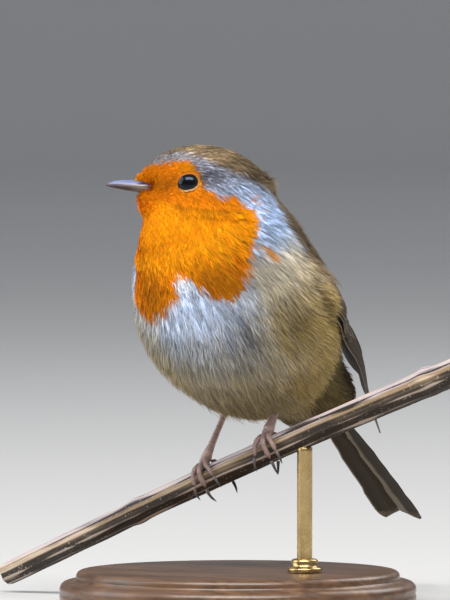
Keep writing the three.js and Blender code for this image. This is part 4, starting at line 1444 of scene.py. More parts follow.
def make_wings():
    material = vane_finish("flight_feathers")
    for index, side in enumerate(SIDES):
        rng = np.random.default_rng(40 + index)
        sheet = Sheet(f"wing_{side}", BACK_AND_DOWN, np.array([SIDES[side], 0.0, 0.0]), UP)
        batch = Batch()
        for order, tip in enumerate(PRIMARY_TIPS):
            share = order / (len(PRIMARY_TIPS) - 1)
            root, bend, end, lift = (lerp(*PRIMARY[part], share) for part in ("root", "bend", "tip", "lift"))
            webs = [lerp(*web, share) for web in zip(*PRIMARY_WEBS)]
            path = (0.1 + 0.05 * share, root), (0.52, bend), (tip, end)
            add_vane(batch, sheet, path, webs, lift, 0.0, rng, 0.12, 0.45, wing=True)
        for count, root, last_root, tip, last_tip, webs, lifts, kind, blunt, taper in WING_ROWS:
            starts, ends = between(root, last_root, count), between(tip, last_tip, count)
            for start, end, lift in zip(starts, ends, between(*lifts, count)):
                end = end + rng.normal(0, TIP_JITTER, 2)
                lift = lift + rng.normal(0, LIFT_JITTER)
                add_vane(batch, sheet, (start, end), webs, lift, kind, rng, blunt, taper, wing=True)
        batch.build(f"flight_feathers_{side}", material, "flight_feathers", (f"wing_{side}",), baked=True)


RECTRICES = 6  # on each side of the tail
TAIL_NOTCH = 0.035


def make_tail():
    rng = np.random.default_rng(50)
    sheet = Sheet("tail", BACK_AND_DOWN, UP, np.array([1.0, 0, 0]))
    batch = Batch()
    for order in range(RECTRICES - 1, -1, -1):
        share = order / (RECTRICES - 1)
        for sign in (-1, 1):
            lift = -0.09 * order - 0.05 * (sign < 0)
            root = (0.0, 0.5 + sign * lerp(0.04, 0.3, share))
            reach = lerp(1 - TAIL_NOTCH, 1.0, share) - 0.004 * rng.uniform()
            end = (reach, 0.5 + sign * lerp(0.1, 0.335, share))
            webs = (3.6, lerp(3.2, 1.5, share))[::sign]
            add_vane(batch, sheet, (root, end), webs, lift, 0.15, rng, 0.1, 0.0)
    batch.build("tail_feathers", vane_finish("tail_feathers"), "flight_feathers", ("tail",), baked=True)


def vane_finish(name):
    """Flight feather colour: dark webs with paler outer fringes, fine barbs slanting off a paler shaft."""
    chosen = settings("robin_flight")
    finish = Finish(name, Roughness=0.55, Specular_IOR_Level=0.15)
    web, along, random, kind = finish.mark("web")
    beside = finish.maths("ABSOLUTE", finish.maths("SUBTRACT", web, 0.5))
    outer = finish.spread(web, 0.03, 0.14, 1.0, 0.0)
    both = finish.spread(beside, 0.4, 0.5)
    tip = finish.spread(along, 0.94, 1.0, 0.0, 0.45)
    fringe = finish.maths("MAXIMUM", finish.maths("MAXIMUM", outer, tip), finish.times(both, kind))
    dark = finish.mix(kind, chosen.vane, chosen.covert)
    edge = finish.mix(kind, chosen.fringe, chosen.covert_edge)
    colour = finish.mix(finish.times(fringe, 0.9), dark, edge)
    run = finish.mix(kind, (620.0, 620.0, 620.0), (150.0, 150.0, 150.0))
    slant = finish.maths("SUBTRACT", finish.times(along, run), finish.times(beside, 60.0))
    barbs = finish.maths("SINE", finish.maths("ADD", slant, finish.times(finish.noise(900.0), 4.0)))
    own = finish.spread(random, 0, 1, -0.12, 0.14)
    light = finish.maths("ADD", finish.spread(barbs, -1, 1, 0.9, 1.06), own)
    shaft = finish.spread(beside, 0.012, 0.05, 0.55, 0.0)
    finish.colour(finish.mix(shaft, finish.lit(colour, light), chosen.shaft))
    finish.bump(barbs, 0.2, 0.00003)
    return finish.material


# ---------- Eyes ----------

GLOBE_ROWS, GLOBE_AROUND = 32, 48
PUPIL = 0.62  # of the globe's radius
LID_AROUND = 72
LID_AWAY = (-0.1, -0.02, 0.06, 0.14, 0.22, 0.3, 0.4, 0.2)  # out from the opening's edge
LID_LIFT = (-0.05, 0.06, 0.12, 0.13, 0.08, 0.0, -0.3, -0.7)  # over the globe
LID_WIDE = (0.85, 2.6, 1.3)  # how many times wider the lid is below, above, and more behind
BEADS = 48
BEAD_ROWS, BEAD_RADIUS = 6, 0.1


def make_eyes():
    globe, lid = globe_finish(), lid_finish()
    for side, eye in zip(SIDES, eyes()):
        batch = Batch()
        add_globe(batch, eye)
        batch.build(f"eye_globe_{side}", globe, "eye", (f"eye_{side}",))
        batch = Batch()
        add_lid(batch, eye)
        add_beads(batch, eye)
        batch.build(f"eye_lid_{side}", lid, "eye")


def add_globe(batch, eye):
    """The whole globe, marked with each ring's distance from the axis."""
    fall = np.linspace(0, np.pi, GLOBE_ROWS)[:, None]
    turn = circle(GLOBE_AROUND)
    away = np.sin(fall) * eye.radius + 0 * turn
    flat = np.cos(turn)[:, None] * eye.front + np.sin(turn)[:, None] * eye.over
    points = eye.centre + flat[None] * away[..., None] + eye.axis * (np.cos(fall)[..., None] * eye.radius)
    marks = channels(away / eye.radius + (fall > np.pi / 2), 0.0, 0.0, 0.0)
    batch.add(points, [grid_faces(GLOBE_ROWS, GLOBE_AROUND, True)], eye=marks)


def add_lid(batch, eye):
    """The fleshy ring round the opening, which tucks in under the feathers."""
    angle = circle(LID_AROUND)
    below, above, more_behind = LID_WIDE
    behind = np.clip(-np.cos(angle - 0.3), 0, 1) ** 4
    grown = lerp(below, above, ease(np.sin(angle), 0.2, 0.7)) + more_behind * behind
    rings = [
        eye.place(angle, eye.outline(angle) + np.where(away > 0, away * grown, away), lift)
        for away, lift in zip(LID_AWAY, LID_LIFT)
    ]
    rows = len(rings)
    faces = grid_faces(rows + 1, LID_AROUND, True)[:, ::-1] % (rows * LID_AROUND)
    outwards = np.arange(rows)[:, None] / (rows - 1)
    batch.add(np.array(rings), [faces], lid=channels(np.sin(angle), outwards, 0.0, 0.0))


def add_beads(batch, eye):
    """The tiny bare plumes that stand along the lids, as small flat beads."""
    rng = np.random.default_rng(60)
    angle = (np.arange(BEADS) + rng.uniform(-0.2, 0.2, BEADS)) / BEADS * 2 * np.pi
    reach = eye.outline(angle) + rng.uniform(0.16, 0.3, BEADS)
    share = np.linspace(0, 1, BEAD_ROWS)
    radii = BEAD_RADIUS * np.sqrt(np.maximum(1 - (2 * share - 1) ** 2, 0.03))
    for turn, away in zip(angle, reach):
        if math.sin(turn) > 0.45:
            continue
        centre = eye.place(turn, away, 0.1)
        out = unit(eye.place(turn, away + 0.1, 0.08) - centre)
        long = rng.uniform(0.15, 0.22)
        line = centre + out * np.linspace(-long, long, BEAD_ROWS)[:, None]
        points, faces, _ = tube(line, radii, 6, eye.axis)
        batch.add(points, faces, lid=channels(np.full(len(points), math.sin(turn)), 1.0, 0.0, 0.0))


def globe_finish():
    chosen = settings("robin_bare")
    tint = (0.55, 0.72, 1.0, 1.0)
    finish = Finish("eye", Roughness=0.12, Specular_Tint=tint, Specular_IOR_Level=0.3)
    away = finish.mark("eye")[0]
    finish.colour(finish.mix(finish.spread(away, PUPIL - 0.04, PUPIL), chosen.eye, chosen.iris))
    return finish.material


def lid_finish():
    """Lid colour: pale specks below, the feathers' own colour above and a dark wet edge."""
    chosen = settings("robin_bare")
    finish = Finish("eye_lid", Roughness=0.6, Specular_IOR_Level=0.15)
    upper, edge = finish.mark("lid")[:2]
    under = finish.spread(upper, -0.7, -0.1, 1.0, 0.0)
    grain = finish.spread(finish.noise(2600.0), 0.35, 0.65)
    colour = finish.mix(finish.times(grain, under), chosen.lid, chosen.lid_pale)
    colour = finish.mix(finish.spread(upper, 0.1, 0.5), colour, chosen.lid_brow)
    finish.colour(finish.mix(finish.spread(edge, 0.0, 0.35, 1.0, 0.0), colour, chosen.lid_edge))
    finish.bump(finish.noise(3000.0), 0.5, 0.0001)
    return finish.material


# ---------- Bill ----------

BILL_ROWS, BILL_AROUND = 60, 44
BILL_HIDDEN = 0.22  # of its length, run back under the feathers
BILL_SEAM = 0.06  # how far each half's edge lies off the line of the gape
BILL_HOLLOW = 0.3  # how far each half's inner face is hollowed out, of its height
BILL_HOOK = 0.12  # how far the upper half's tip is bent down
BILL_LEAST = 0.1  # the tips are no finer than this
NOSTRIL = {"along": 0.43, "across": 0.8, "length": 0.065, "width": 0.11, "depth": 0.25}


def make_bill():
    root, tip = bill_ends()
    material = bill_finish()
    length = np.linalg.norm(tip - root)
    way = unit(tip - root)
    up = unit(UP - way * (way @ UP))
    left = np.cross(up, way)
    half_width = np.abs((solid("bill_upper")[0] - root) @ HEAD_LEFT).max()
    share = 1 - (1 - np.linspace(0, 1, BILL_ROWS)[:, None]) ** 1.25
    t = lerp(-BILL_HIDDEN, 1.0, share)
    close = np.clip(t, 0, 1)
    width = half_width * (1 - close**1.7) ** 0.7 * lerp(1.0, 1.3, ease(0.05 - t, 0, 0.22))
    top = lerp(1.66, 1.25, close) * (1 - close**6.0) ** 0.62
    bottom = lerp(1.8, 0.95, close) * (1 - close**4.0) ** 0.7
    gape = -0.3 + 0.3 * close - 0.35 * ease(0.35 - t, 0, 0.45) - 0.1 * ease(t, 0.8, 1.0)
    width, top, bottom = (np.maximum(values, BILL_LEAST) for values in (width, top, bottom))
    angle = circle(BILL_AROUND)
    high, across = np.sin(angle), np.cos(angle)
    outer, inner = np.clip(high, 0, 1), np.clip(-high, 0, 1)
    for name, height, sign, ridge in (("upper", top, 1, 1.25), ("lower", bottom, -1, 0.95)):
        lift = gape + sign * np.where(high > 0, outer**ridge * height, 0.0)
        lift = lift + sign * (BILL_SEAM + inner * BILL_HOLLOW * height)
        aside = across * width
        aside = np.where(high > 0, aside, aside * (0.985 - 0.1 * inner))
        slit = 0 * lift
        groups = [grid_faces(BILL_ROWS, BILL_AROUND, True), end_caps(BILL_ROWS, BILL_AROUND)]
        if name == "upper":
            away = (t - NOSTRIL["along"]) / NOSTRIL["length"]
            near = np.hypot(away, (np.abs(across) - NOSTRIL["across"]) / NOSTRIL["width"])
            slit = ease(1.4 - near, 0, 0.8) * (high > 0)
            aside = aside - np.sign(across) * (slit * NOSTRIL["depth"])
            lift = lift - BILL_HOOK * ease(t, 0.93, 1.0)
        else:
            groups = [faces[:, ::-1] for faces in groups]
        along, lift, aside = (values[..., None] for values in (t * length + 0 * lift, lift, aside))
        points = root + way * along + up * lift + left * aside
        batch = Batch()
        batch.add(points, groups, bill=channels(t, lift[..., 0] / 2.6 + 0.5, slit, float(sign > 0)))
        batch.build(f"horn_{name}", material, "bill_horn", (f"bill_{name}",))


def bill_finish():
    """Bill colour: bluish slate on the upper bill's top, partly its own colour and partly a painted
    reflection of the sky; brown below, and pale along the cutting edges and at the root.
    """
    chosen = settings("robin_bare")
    finish = Finish("bill_horn", Roughness=0.4)
    along, height, nostril, upper = finish.mark("bill")
    cutting = finish.mix(finish.spread(along, 0.4, 0.85, 0.85, 0.1), chosen.horn_brown, chosen.horn_pale)
    # the upper bill's top: bluish slate, partly a painted reflection of the sky
    top = finish.mix(finish.spread(height, 0.48, 0.78), cutting, chosen.horn_and_sky_reflection)
    low = finish.mix(finish.spread(along, 0.3, 0.65, 0.4, 0.0), chosen.horn_brown, chosen.horn_pale)
    stains = finish.spread(finish.noise(700.0, 4.0, (1, 1, 3)), 0.3, 0.8, 0.0, 0.3)
    colour = finish.mix(stains, finish.mix(upper, low, top), chosen.horn_dark)
    finish.colour(finish.mix(finish.spread(nostril, 0.3, 0.9, 0.0, 0.85), colour, chosen.horn_dark))
    finish.bump(finish.noise(1800.0, 3.0), 0.12, 0.0002)
    return finish.material


# ---------- Feet ----------

TOES = {"hind": 9, "inner": 10, "middle": 14, "outer": 12}  # and how many scales each has
TOE_ROWS, TOE_AROUND = 64, 18
SHANK_ROWS, SHANK_AROUND, SHANK_SCUTES = 90, 22, 8
SHANK_FULL = 1.22  # the shank's plates stand this many times as far out as the frame's plain rod
PAD_ROWS, PAD_AROUND, PAD_RADIUS = 14, 20, 1.25
CLAW_ROWS, CLAW_AROUND = 26, 14
CLAW_FLAT = 0.18  # how far a claw is flattened at its sides
FRONT = np.array([0.0, -1.0, 0.0])


@functools.cache
def stem_line():
    return centreline("perch", lambda corners: corners[:, 0], 60)


def stem_at(points):
    middles, _ = stem_line()
    return np.stack([np.interp(points[:, 0], middles[:, 0], middles[:, k]) for k in range(3)], 1)


def stem_angle(points):
    local = points - stem_at(points)
    return np.arctan2(-local[:, 1], local[:, 2])


def limb_of(name, measure, cuts, inset, rows):
    """A limb's smooth middle line and its radii, with each row's share of the length."""
    middles, radii = centreline(name, measure, cuts, inset)
    share = np.linspace(0, 1, rows)
    return through(middles, rows), np.interp(share, np.linspace(0, 1, len(radii)), radii), share


def plates(share, count, sharpness=6.0):
    """Overlapping scales along a limb: each swells and ends in a step."""
    phase = (share * count) % 1.0
    return phase**1.5 * (1 - phase**sharpness)


def make_feet():
    leg, claw = leg_finish(), claw_finish()
    for side in SIDES:
        foot, claws = Batch(), Batch()
        ends = []
        for toe in TOES:
            line = add_toe(foot, toe, side)
            ends.append(line[0])
            grow_claw(claws, f"claw_{toe}_{side}", line[-1])
        ankle = add_shank(foot, side)
        add_pad(foot, np.mean(ends, axis=0), ankle)
        nodes = [f"tarsus_{side}"] + [f"toe_{toe}_{side}" for toe in TOES]
        foot.build(f"foot_{side}", leg, "leg_skin", nodes)
        claws.build(f"claws_{side}", claw, "claw_horn", [f"claw_{toe}_{side}" for toe in TOES])


def add_limb(batch, form, kind, count):
    """A tube with marks for its material: along, front, kind of skin, and place on its own scale."""
    points, faces, places = form
    front = np.cos(places[:, 1] * 2 * np.pi) * 0.5 + 0.5
    batch.add(points, faces, limb=channels(places[:, 0], front, kind, (places[:, 0] * count) % 1.0))


def add_toe(batch, toe, side):
    """One toe round the stem, scaled above and padded below."""
    way = -1 if toe == "hind" else 1
    line, radius, share = limb_of(
        f"toe_{toe}_{side}", lambda corners: way * stem_angle(corners), 26, 0.03, TOE_ROWS
    )
    joints = 2 if toe == "hind" else 3
    knuckle = band((share * joints) % 1.0, 0.5, 0.2)
    radius = radius * np.interp(share, (0, 0.06, 0.94, 1), (0.85, 1.0, 0.95, 0.6))

    def scuted(at, angle):
        back = np.clip(np.cos(angle), 0, 1) ** 0.6
        pad = np.clip(-np.cos(angle), 0, 1)
        return 1 + 0.2 * plates(at, TOES[toe]) * back - 0.03 + pad * (0.14 * knuckle[:, None] - 0.05)

    add_limb(batch, tube(line, radius, TOE_AROUND, line - stem_at(line), scuted), 0.0, TOES[toe])
    return line


def add_shank(batch, side):
    """The bare shank, with broad plates down its front; its foot's end is given back."""
    corners, _ = solid(f"tarsus_{side}")
    axis = towards(np.linalg.svd(corners - corners.mean(0), full_matrices=False)[2][0], UP)
    line, radius, share = limb_of(f"tarsus_{side}", lambda corners: corners @ axis, 30, 0.02, SHANK_ROWS)
    radius = SHANK_FULL * radius * np.interp(share, (0, 0.04, 0.96, 1), (0.8, 1.0, 1.0, 0.8))

    def scuted(at, angle):
        front = np.clip(np.cos(angle), 0, 1) ** 0.5
        keel = np.clip(-np.cos(angle), 0, 1) ** 3
        scales = 0.09 * plates(1 - at, SHANK_SCUTES, 9.0) * front
        return 0.97 + scales + 0.12 * keel - 0.06 * np.sin(angle) ** 2

    points, faces, places = tube(line, radius, SHANK_AROUND, FRONT + 0 * line, scuted)
    places[:, 0] = 1 - places[:, 0]
    add_limb(batch, (points, faces, places), 1.0, SHANK_SCUTES)
    return line[0]


def add_pad(batch, toes, ankle):
    """The ball of the foot, where the toes meet the shank."""
    share = np.linspace(0, 1, PAD_ROWS)
    line = lerp(ankle + (ankle - toes) * 0.4, toes + (toes - ankle) * 0.35, share[:, None])
    radii = PAD_RADIUS * np.sqrt(np.maximum(1 - (2 * share - 1) ** 2, 0.01))
    add_limb(batch, tube(line, radii, PAD_AROUND, FRONT + 0 * line), 0.5, 4)


def grow_claw(batch, name, toe_end):
    """A curved claw, flattened at its sides and drawn out to a fine tip."""
    line, radius, share = limb_of(
        name, lambda corners: np.linalg.norm(corners - toe_end, axis=1), 14, 0.05, CLAW_ROWS
    )
    radius = radius * np.interp(share, (0, 0.7, 1), (1.1, 0.9, 0.3))

    def flattened(at, angle):
        return 1 - CLAW_FLAT * np.sin(angle) ** 2 + 0 * at

    points, faces, places = tube(line, radius, CLAW_AROUND, line - stem_at(line), flattened)
    batch.add(points, faces, claw=channels(places[:, 0], 0.0, 0.0, 0.0))


def leg_finish():
    """Pinkish shanks and darker toes, with dark creases between the scales."""
    chosen = settings("robin_bare")
    finish = Finish("leg_skin", Roughness=0.42)
    _, front, kind, plate = finish.mark("limb")
    stains = finish.spread(finish.noise(500.0, 4.0), 0.4, 0.75, 0.0, 0.45)
    colour = finish.mix(stains, finish.mix(kind, chosen.toe, chosen.leg), chosen.leg_dark)
    step = finish.times(finish.spread(plate, 0.8, 1.0), finish.spread(front, 0.4, 0.6))
    finish.colour(finish.mix(finish.times(step, 0.8), colour, chosen.leg_dark))
    finish.bump(finish.noise(2600.0, 3.0), 0.35, 0.0002)
    return finish.material


def claw_finish():
    chosen = settings("robin_bare")
    finish = Finish("claw_horn", Roughness=0.28, Coat_Weight=0.2)
    along = finish.mark("claw")[0]
    streaks = finish.noise(900.0, 3.0)
    colour = finish.mix(finish.spread(along, 0.0, 0.6), chosen.claw_root, chosen.claw)
    finish.colour(finish.mix(finish.spread(streaks, 0.4, 0.7, 0.0, 0.4), colour, chosen.claw_root))
    finish.bump(streaks, 0.15, 0.0001)
    return finish.material


# ---------- Perch and stand ----------

STEM_ROWS, STEM_AROUND = 320, 72
STEM_RIDGES, STEM_FIBRES = 9, 21
STEM_NODES = (0.32, 0.9)  # where leaves once grew, as shares of the stem's length
STEM_CUT = 0.5  # how far within the frame's perch each end lies
END_RADII = (0.93, 0.7, 0.3)  # each ring that closes an end is so much smaller than the one before
END_STEP = 0.004
SPLIT_AT = 2.2  # how far round from the top the long split starts


def make_perch():
    middles, radii = stem_line()
    low, high = extent("perch")
    share = np.linspace(0, 1, STEM_ROWS)
    share = lerp(share, ease(share, 0, 1), 0.25)
    x = lerp(low[0] + STEM_CUT, high[0] - STEM_CUT, share)
    way = unit(middles[-1] - middles[0])
    line = np.stack([np.interp(x, middles[:, 0], middles[:, k]) for k in range(3)], 1)
    beyond = x - np.clip(x, middles[0, 0], middles[-1, 0])
    line = line + way * (beyond / way[0])[:, None]
    line[:, 0] = np.where(beyond == 0, x, line[:, 0])
    radius = np.interp(x, middles[:, 0], radii)
    for inset in END_RADII:
        radius = np.concatenate([radius[:1] * inset, radius, radius[-1:] * inset])
        line = np.vstack([line[0] - way * END_STEP, line, line[-1] + way * END_STEP])
    relief = np.zeros((len(line), STEM_AROUND))

    def ridged(at, angle):
        place = np.stack([np.cos(angle) + 0 * at, np.sin(angle) + 0 * at, at * 12 + 0 * angle], -1)
        turn = angle + 0.12 * at + 0.03 * ripple(place[..., 2:], 2.5, 71)
        ridge = np.cos(turn * STEM_RIDGES)
        fine = np.cos(turn * STEM_FIBRES + 0.8 * ripple(place, 3.2, 72)) * 0.5
        lumps = ripple(place, 1.4, 73)
        split = band((turn - SPLIT_AT + 0.3 * ripple(place[..., 2:], 4, 75)) % (2 * np.pi), 0.0, 0.09)
        split = split * ease(at, 0.05, 0.2) * ease(0.5 - at, 0, 0.2)
        node = sum(band(at, spot, 0.018) for spot in STEM_NODES)
        # the relief that the colour follows: painted highlights on the ridges, painted shade in the grooves
        # and the split
        relief[:] = 0.55 + 0.3 * ridge + 0.4 * fine + 0.25 * lumps - 0.8 * split
        height = 0.03 * ridge + 0.03 * fine + 0.03 * lumps + 0.11 * node * (1 + 0.5 * lumps) - 0.1 * split
        return 0.955 + height

    points, faces, places = tube(line, radius, STEM_AROUND, UP + 0 * line, ridged)
    ring = np.arange(len(points)) // STEM_AROUND
    pith = (ring < len(END_RADII)) | (ring >= STEM_ROWS + len(END_RADII))
    round_it = np.minimum(places[:, 1], 1 - places[:, 1])
    marks = channels(np.append(relief.ravel(), [0.5, 0.5]), places[:, 0], round_it, pith)
    batch = Batch()
    batch.add(points, faces, stem=marks)
    batch.build("dry_stem", stem_finish(), "dry_stem", ("perch",))


def stem_finish():
    """Stem colour: grey above, partly weathering and partly painted highlight; tan beside; dark below, partly
    its own colour and partly painted shade; painted shade in the grooves, painted highlights on the crests,
    and pale specks and pith.
    """
    chosen = settings("robin_stand")
    finish = Finish("dry_stem", Roughness=0.62)
    relief, _, round_it, pith = finish.mark("stem")
    streaks = finish.noise(240.0, 5.0, (0.16, 1, 0.35))
    # the share round from the top: the stem is painted lighter above and darker below, as the light falls
    round_from_top = finish.maths("ADD", round_it, finish.spread(streaks, 0, 1, -0.1, 0.1))
    face = finish.mix(finish.spread(round_from_top, 0.15, 0.19), chosen.stem_weathered_and_highlit, chosen.stem_tan)
    face = finish.mix(finish.spread(round_from_top, 0.24, 0.29), face, chosen.stem)
    height = finish.maths("ADD", relief, finish.spread(streaks, 0.2, 0.8, -0.5, 0.5))
    # painted shade in the grooves and the split
    colour = finish.mix(finish.spread(height, 0.2, 0.6), chosen.stem_groove_shade, face)
    # painted highlights on the crests
    crests = finish.spread(height, 0.8, 1.1, 0.0, 0.7)
    specks = finish.spread(finish.noise(1500.0, 3.0), 0.62, 0.72, 0.0, 0.5)
    for share in (crests, specks, pith):
        colour = finish.mix(share, colour, chosen.stem_pale_and_highlight)
    finish.colour(colour)
    finish.bump(finish.noise(900.0, 3.0, (0.1, 1, 0.3)), 0.5, 0.0004)
    finish.roughness(finish.spread(streaks, 0.3, 0.7, 0.75, 0.45))
    return finish.material


LATHE_AROUND = 128


def turned(profile, around, axis=(0.0, 0.0)):
    """Rings of corners about an upright axis, from (radius, height) pairs."""
    rings = np.array(profile, dtype=float)
    angle = circle(around)
    x, y = axis[0] + rings[:, :1] * np.cos(angle), axis[1] + rings[:, :1] * np.sin(angle)
    return channels(x, y, rings[:, 1:])


def rounded(corner, radius, start, end, steps=6):
    """Profile points round a corner: angles, in degrees, about the middle of its fillet."""
    angles = np.radians(np.linspace(start, end, steps))
    return [(corner[0] + radius * math.cos(a), corner[1] + radius * math.sin(a)) for a in angles]


def base_profile(radius, low, high):
    """The base's half outline from its underside: a foot, a round belly, a quirk and an upper bead."""
    foot = [(radius - 1.2, low), (radius - 0.4, low + 0.25)]
    foot += [(radius - 0.05, low + 0.9), (radius - 0.02, low + 2.2)]
    quirk = [(radius - 2.6, high - 2.6), (radius - 3.4, high - 2.4), (radius - 3.9, high - 1.9)]
    belly = rounded((radius - 1.9, low + 3.6), 1.9, -30, 80)
    bead = rounded((radius - 5.3, high - 1.4), 1.4, -10, 90)
    return foot + belly + quirk + bead + [(radius * 0.5, high), (8.0, high), (1.0, high)]


def collar_profile(radius, low, high):
    """The collar's half outline: a flange, a neck and a rounded top."""
    inner = 1.0
    flange = [(inner, low), (radius - 0.15, low)] + rounded((radius - 0.5, low + 0.5), 0.5, -70, 60)
    neck = [(radius - 0.9, low + 1.25), (radius - 1.15, low + 1.4)]
    return flange + neck + rounded((radius - 1.75, high - 0.7), 0.7, 0, 85) + [(inner, high)]


def rod_profile(radius, low, high):
    """The rod's half outline, with small chamfers."""
    shaft = [(radius, height) for height in np.linspace(low + 1, high - 1, 12)]
    chamfer = 0.15
    start = [(radius - chamfer, low), (radius, low + chamfer)]
    return start + shaft + [(radius, high - chamfer), (radius - chamfer, high)]


def make_stand():
    wood, brass = wood_finish(), brass_finish()
    for node, profile, material, slot in (
        ("stand_base", base_profile, wood, "stand_wood"),
        ("stand_collar", collar_profile, brass, "stand_brass"),
        ("stand_rod", rod_profile, brass, "stand_brass"),
    ):
        low, high = extent(node)
        rings = turned(profile((high[0] - low[0]) / 2, low[2], high[2]), LATHE_AROUND, (low + high) / 2)
        batch = Batch()
        batch.add(rings, [grid_faces(len(rings), LATHE_AROUND, True), end_caps(len(rings), LATHE_AROUND)])
        batch.build(f"{node}_turned", material, slot, (node,))


def wood_finish():
    chosen = settings("robin_stand")
    finish = Finish("stand_wood", Roughness=0.38, Coat_Weight=0.35, Coat_Roughness=0.25)
    rings = finish.noise(36.0, 5.0, (1, 5, 9), 1.6)
    pores = finish.noise(800.0, 2.0, (0.12, 1, 1))
    colour = finish.mix(finish.spread(rings, 0.35, 0.65), chosen.wood_dark, chosen.wood)
    finish.colour(finish.mix(finish.spread(pores, 0.62, 0.75, 0.0, 0.5), colour, chosen.wood_dark))
    finish.bump(pores, 0.15, 0.0002)
    return finish.material


def brass_finish():
    chosen = settings("robin_stand")
    finish = Finish("stand_brass", Roughness=0.28, Metallic=1.0)
    tarnish = finish.spread(finish.noise(160.0, 4.0), 0.45, 0.75, 0.0, 0.6)
    finish.colour(finish.mix(tarnish, chosen.brass, chosen.brass_dull))
    finish.roughness(finish.spread(finish.noise(500.0), 0.3, 0.7, 0.2, 0.36))
    return finish.material


# ---------- Studio ----------

VIEW = {"aside": -3.05, "height": 71.6, "distance": 2000.0}  # the aimed point, and how far the camera stands
CLIP_END = 20.0  # metres
SKY, SKY_STRENGTH = (0.88, 0.93, 1.0, 1.0), 0.6
BOWL = {"floor": 5.2, "bend": 1.4, "wall": 4.4}  # metres: the floor's radius, its curve up and the wall's top
BOWL_AROUND, BEND_STEPS = 96, 12
PAPER_SHADE = 0.97  # how dark the paper's faint clouds are
# Each light's place from the model's middle, width and height, in metres, and tint.
LIGHTS = {
    "key": ((0.35, -0.7, 1.15), 1.5, 0.5, (1.0, 0.97, 0.93)),
    "fill": ((-1.0, -0.6, 0.5), 0.9, 0.9, (0.9, 0.95, 1.0)),
    "back": ((0.3, 1.1, 0.9), 0.8, 0.8, (1.0, 1.0, 1.0)),
}


def make_studio():
    chosen = settings("robin_studio")
    bpy.context.scene.view_settings.view_transform = "Standard"
    low, high = (np.array(corner) for corner in CAD_BOX)
    add_camera(chosen)
    powers = {"key": chosen.key, "fill": chosen.fill, "back": chosen.fill}
    for name, power in powers.items():
        add_light(name, power, Vector((low + high) / 2))
    world = bpy.data.worlds.new("studio")
    world.use_nodes = True
    sky = world.node_tree.nodes["Background"].inputs
    sky["Color"].default_value = SKY
    sky["Strength"].default_value = SKY_STRENGTH
    bpy.context.scene.world = world
    add_floor(chosen, low[2])


def add_camera(chosen):
    azimuth, elevation = chosen.azimuth, chosen.elevation
    right = np.array([math.cos(azimuth), math.sin(azimuth), 0.0])
    level = math.cos(elevation)
    back = np.array([math.sin(azimuth) * level, -math.cos(azimuth) * level, math.sin(elevation)])
    target = (right * VIEW["aside"] + UP * VIEW["height"]) * MM
    data = bpy.data.cameras.new("camera")
    data.lens = data.sensor_width * VIEW["distance"] * MM / chosen.frame_height
    data.clip_end = CLIP_END
    camera = bpy.data.objects.new("camera", data)
    camera.location = Vector(target + back * VIEW["distance"] * MM)
    camera.rotation_euler = Vector(-back).to_track_quat("-Z", "Y").to_euler()
    bpy.context.scene.collection.objects.link(camera)
    bpy.context.scene.camera = camera


def add_light(name, power, aim):
    spot, width, height, tint = LIGHTS[name]
    data = bpy.data.lights.new(name, "AREA")
    data.shape = "RECTANGLE"
    data.size, data.size_y = width, height
    data.energy = power
    data.color = tint
    light = bpy.data.objects.new(name, data)
    light.location = aim + Vector(spot)
    light.rotation_euler = Vector(spot).to_track_quat("Z", "Y").to_euler()
    bpy.context.scene.collection.objects.link(light)


def add_floor(chosen, level):
    """The seamless floor, curved up all round into a low wall."""
    reach, bend = BOWL["floor"], BOWL["bend"]
    turns = [step / BEND_STEPS * math.pi / 2 for step in range(1, BEND_STEPS + 1)]
    profile = [(0.0, level), (reach, level)]
    profile += [(reach + bend * math.sin(turn), bend * (1 - math.cos(turn)) + level) for turn in turns]
    profile.append((reach + bend, BOWL["wall"] + level))
    points = turned(profile, BOWL_AROUND)
    mesh = bpy.data.meshes.new("studio_floor")
    mesh.from_pydata(points.reshape(-1, 3).tolist(), [], grid_faces(len(points), BOWL_AROUND, True).tolist())
    mesh.polygons.foreach_set("use_smooth", np.ones(len(mesh.polygons), dtype=bool))
    finish = Finish("studio_paper", Roughness=0.9, Specular_IOR_Level=0.1)
    shaded = [channel * PAPER_SHADE for channel in chosen.paper]
    finish.colour(finish.mix(finish.noise(3.0, 2.0), chosen.paper, shaded))
    mesh.materials.append(finish.material)
    floor = bpy.data.objects.new("studio_floor", mesh)
    bpy.context.scene.collection.objects.link(floor)
    return floor


# ---------- Operators and panel ----------


class ROBIN_OT_studio(bpy.types.Operator):
    """Adds the camera, the lights and the seamless floor"""

    bl_idname = "robin.studio"
    bl_label = "Studio"

    def execute(self, context):
        make_studio()
        return {"FINISHED"}


class ROBIN_OT_skin(bpy.types.Operator):
    """Adds the one skin of head, neck and trunk, under the plumage"""

    bl_idname = "robin.skin"
    bl_label = "Skin"

    def execute(self, context):
        make_skin()
        return {"FINISHED"}


class ROBIN_OT_coat(bpy.types.Operator):
    """Grows the body plumage as joined meshes of fine barbs"""

    bl_idname = "robin.coat"
    bl_label = "Coat"

    def execute(self, context):
        make_coat()
        return {"FINISHED"}


class ROBIN_OT_eyes(bpy.types.Operator):
    """Adds the globes of the eyes and their lids"""

    bl_idname = "robin.eyes"
    bl_label = "Eyes"

    def execute(self, context):
        make_eyes()
        return {"FINISHED"}


class ROBIN_OT_bill(bpy.types.Operator):
    """Adds the upper and the lower bill"""

    bl_idname = "robin.bill"
    bl_label = "Bill"

    def execute(self, context):
        make_bill()
        return {"FINISHED"}


class ROBIN_OT_wings(bpy.types.Operator):
    """Lays the feathers of both folded wings"""

    bl_idname = "robin.wings"
    bl_label = "Wings"

    def execute(self, context):
        make_wings()
        return {"FINISHED"}


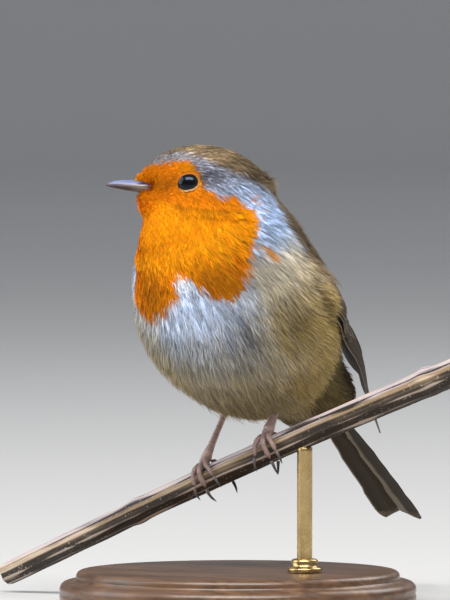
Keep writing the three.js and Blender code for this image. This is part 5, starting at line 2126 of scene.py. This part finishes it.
class ROBIN_OT_tail(bpy.types.Operator):
    """Lays the twelve feathers of the closed tail"""

    bl_idname = "robin.tail"
    bl_label = "Tail"

    def execute(self, context):
        make_tail()
        return {"FINISHED"}


class ROBIN_OT_feet(bpy.types.Operator):
    """Adds the scaled shanks and toes, and the claws"""

    bl_idname = "robin.feet"
    bl_label = "Feet"

    def execute(self, context):
        make_feet()
        return {"FINISHED"}


class ROBIN_OT_perch(bpy.types.Operator):
    """Adds the ridged dry stem that the feet grip"""

    bl_idname = "robin.perch"
    bl_label = "Perch"

    def execute(self, context):
        make_perch()
        return {"FINISHED"}


class ROBIN_OT_stand(bpy.types.Operator):
    """Turns the display stand's base, collar and rod"""

    bl_idname = "robin.stand"
    bl_label = "Stand"

    def execute(self, context):
        make_stand()
        return {"FINISHED"}


OPERATORS = (
    ROBIN_OT_studio,
    ROBIN_OT_skin,
    ROBIN_OT_coat,
    ROBIN_OT_eyes,
    ROBIN_OT_bill,
    ROBIN_OT_wings,
    ROBIN_OT_tail,
    ROBIN_OT_feet,
    ROBIN_OT_perch,
    ROBIN_OT_stand,
)


class ROBIN_PT_panel(bpy.types.Panel):
    """The robin's settings and the buttons that make its pieces"""

    bl_idname = "ROBIN_PT_panel"
    bl_label = "European Robin"
    bl_space_type = "VIEW_3D"
    bl_region_type = "UI"
    bl_category = "Robin"

    def draw(self, context):
        column = self.layout.column()
        for kind in OPERATORS:
            column.operator(kind.bl_idname)
        for name, group in SETTINGS.items():
            box = self.layout.box()
            box.label(text=group.__doc__)
            for field in group.__annotations__:
                box.prop(getattr(context.scene, name), field)


def register():
    for kind in (*SETTINGS.values(), *OPERATORS, ROBIN_PT_panel):
        bpy.utils.register_class(kind)
    for name, group in SETTINGS.items():
        setattr(bpy.types.Scene, name, PointerProperty(type=group))


def unregister():
    for name in SETTINGS:
        delattr(bpy.types.Scene, name)
    for kind in reversed((*SETTINGS.values(), *OPERATORS, ROBIN_PT_panel)):
        bpy.utils.unregister_class(kind)


def main():
    register()
    for kind in OPERATORS:
        group, action = kind.bl_idname.split(".")
        getattr(getattr(bpy.ops, group), action)()


if __name__ == "__main__":
    main()
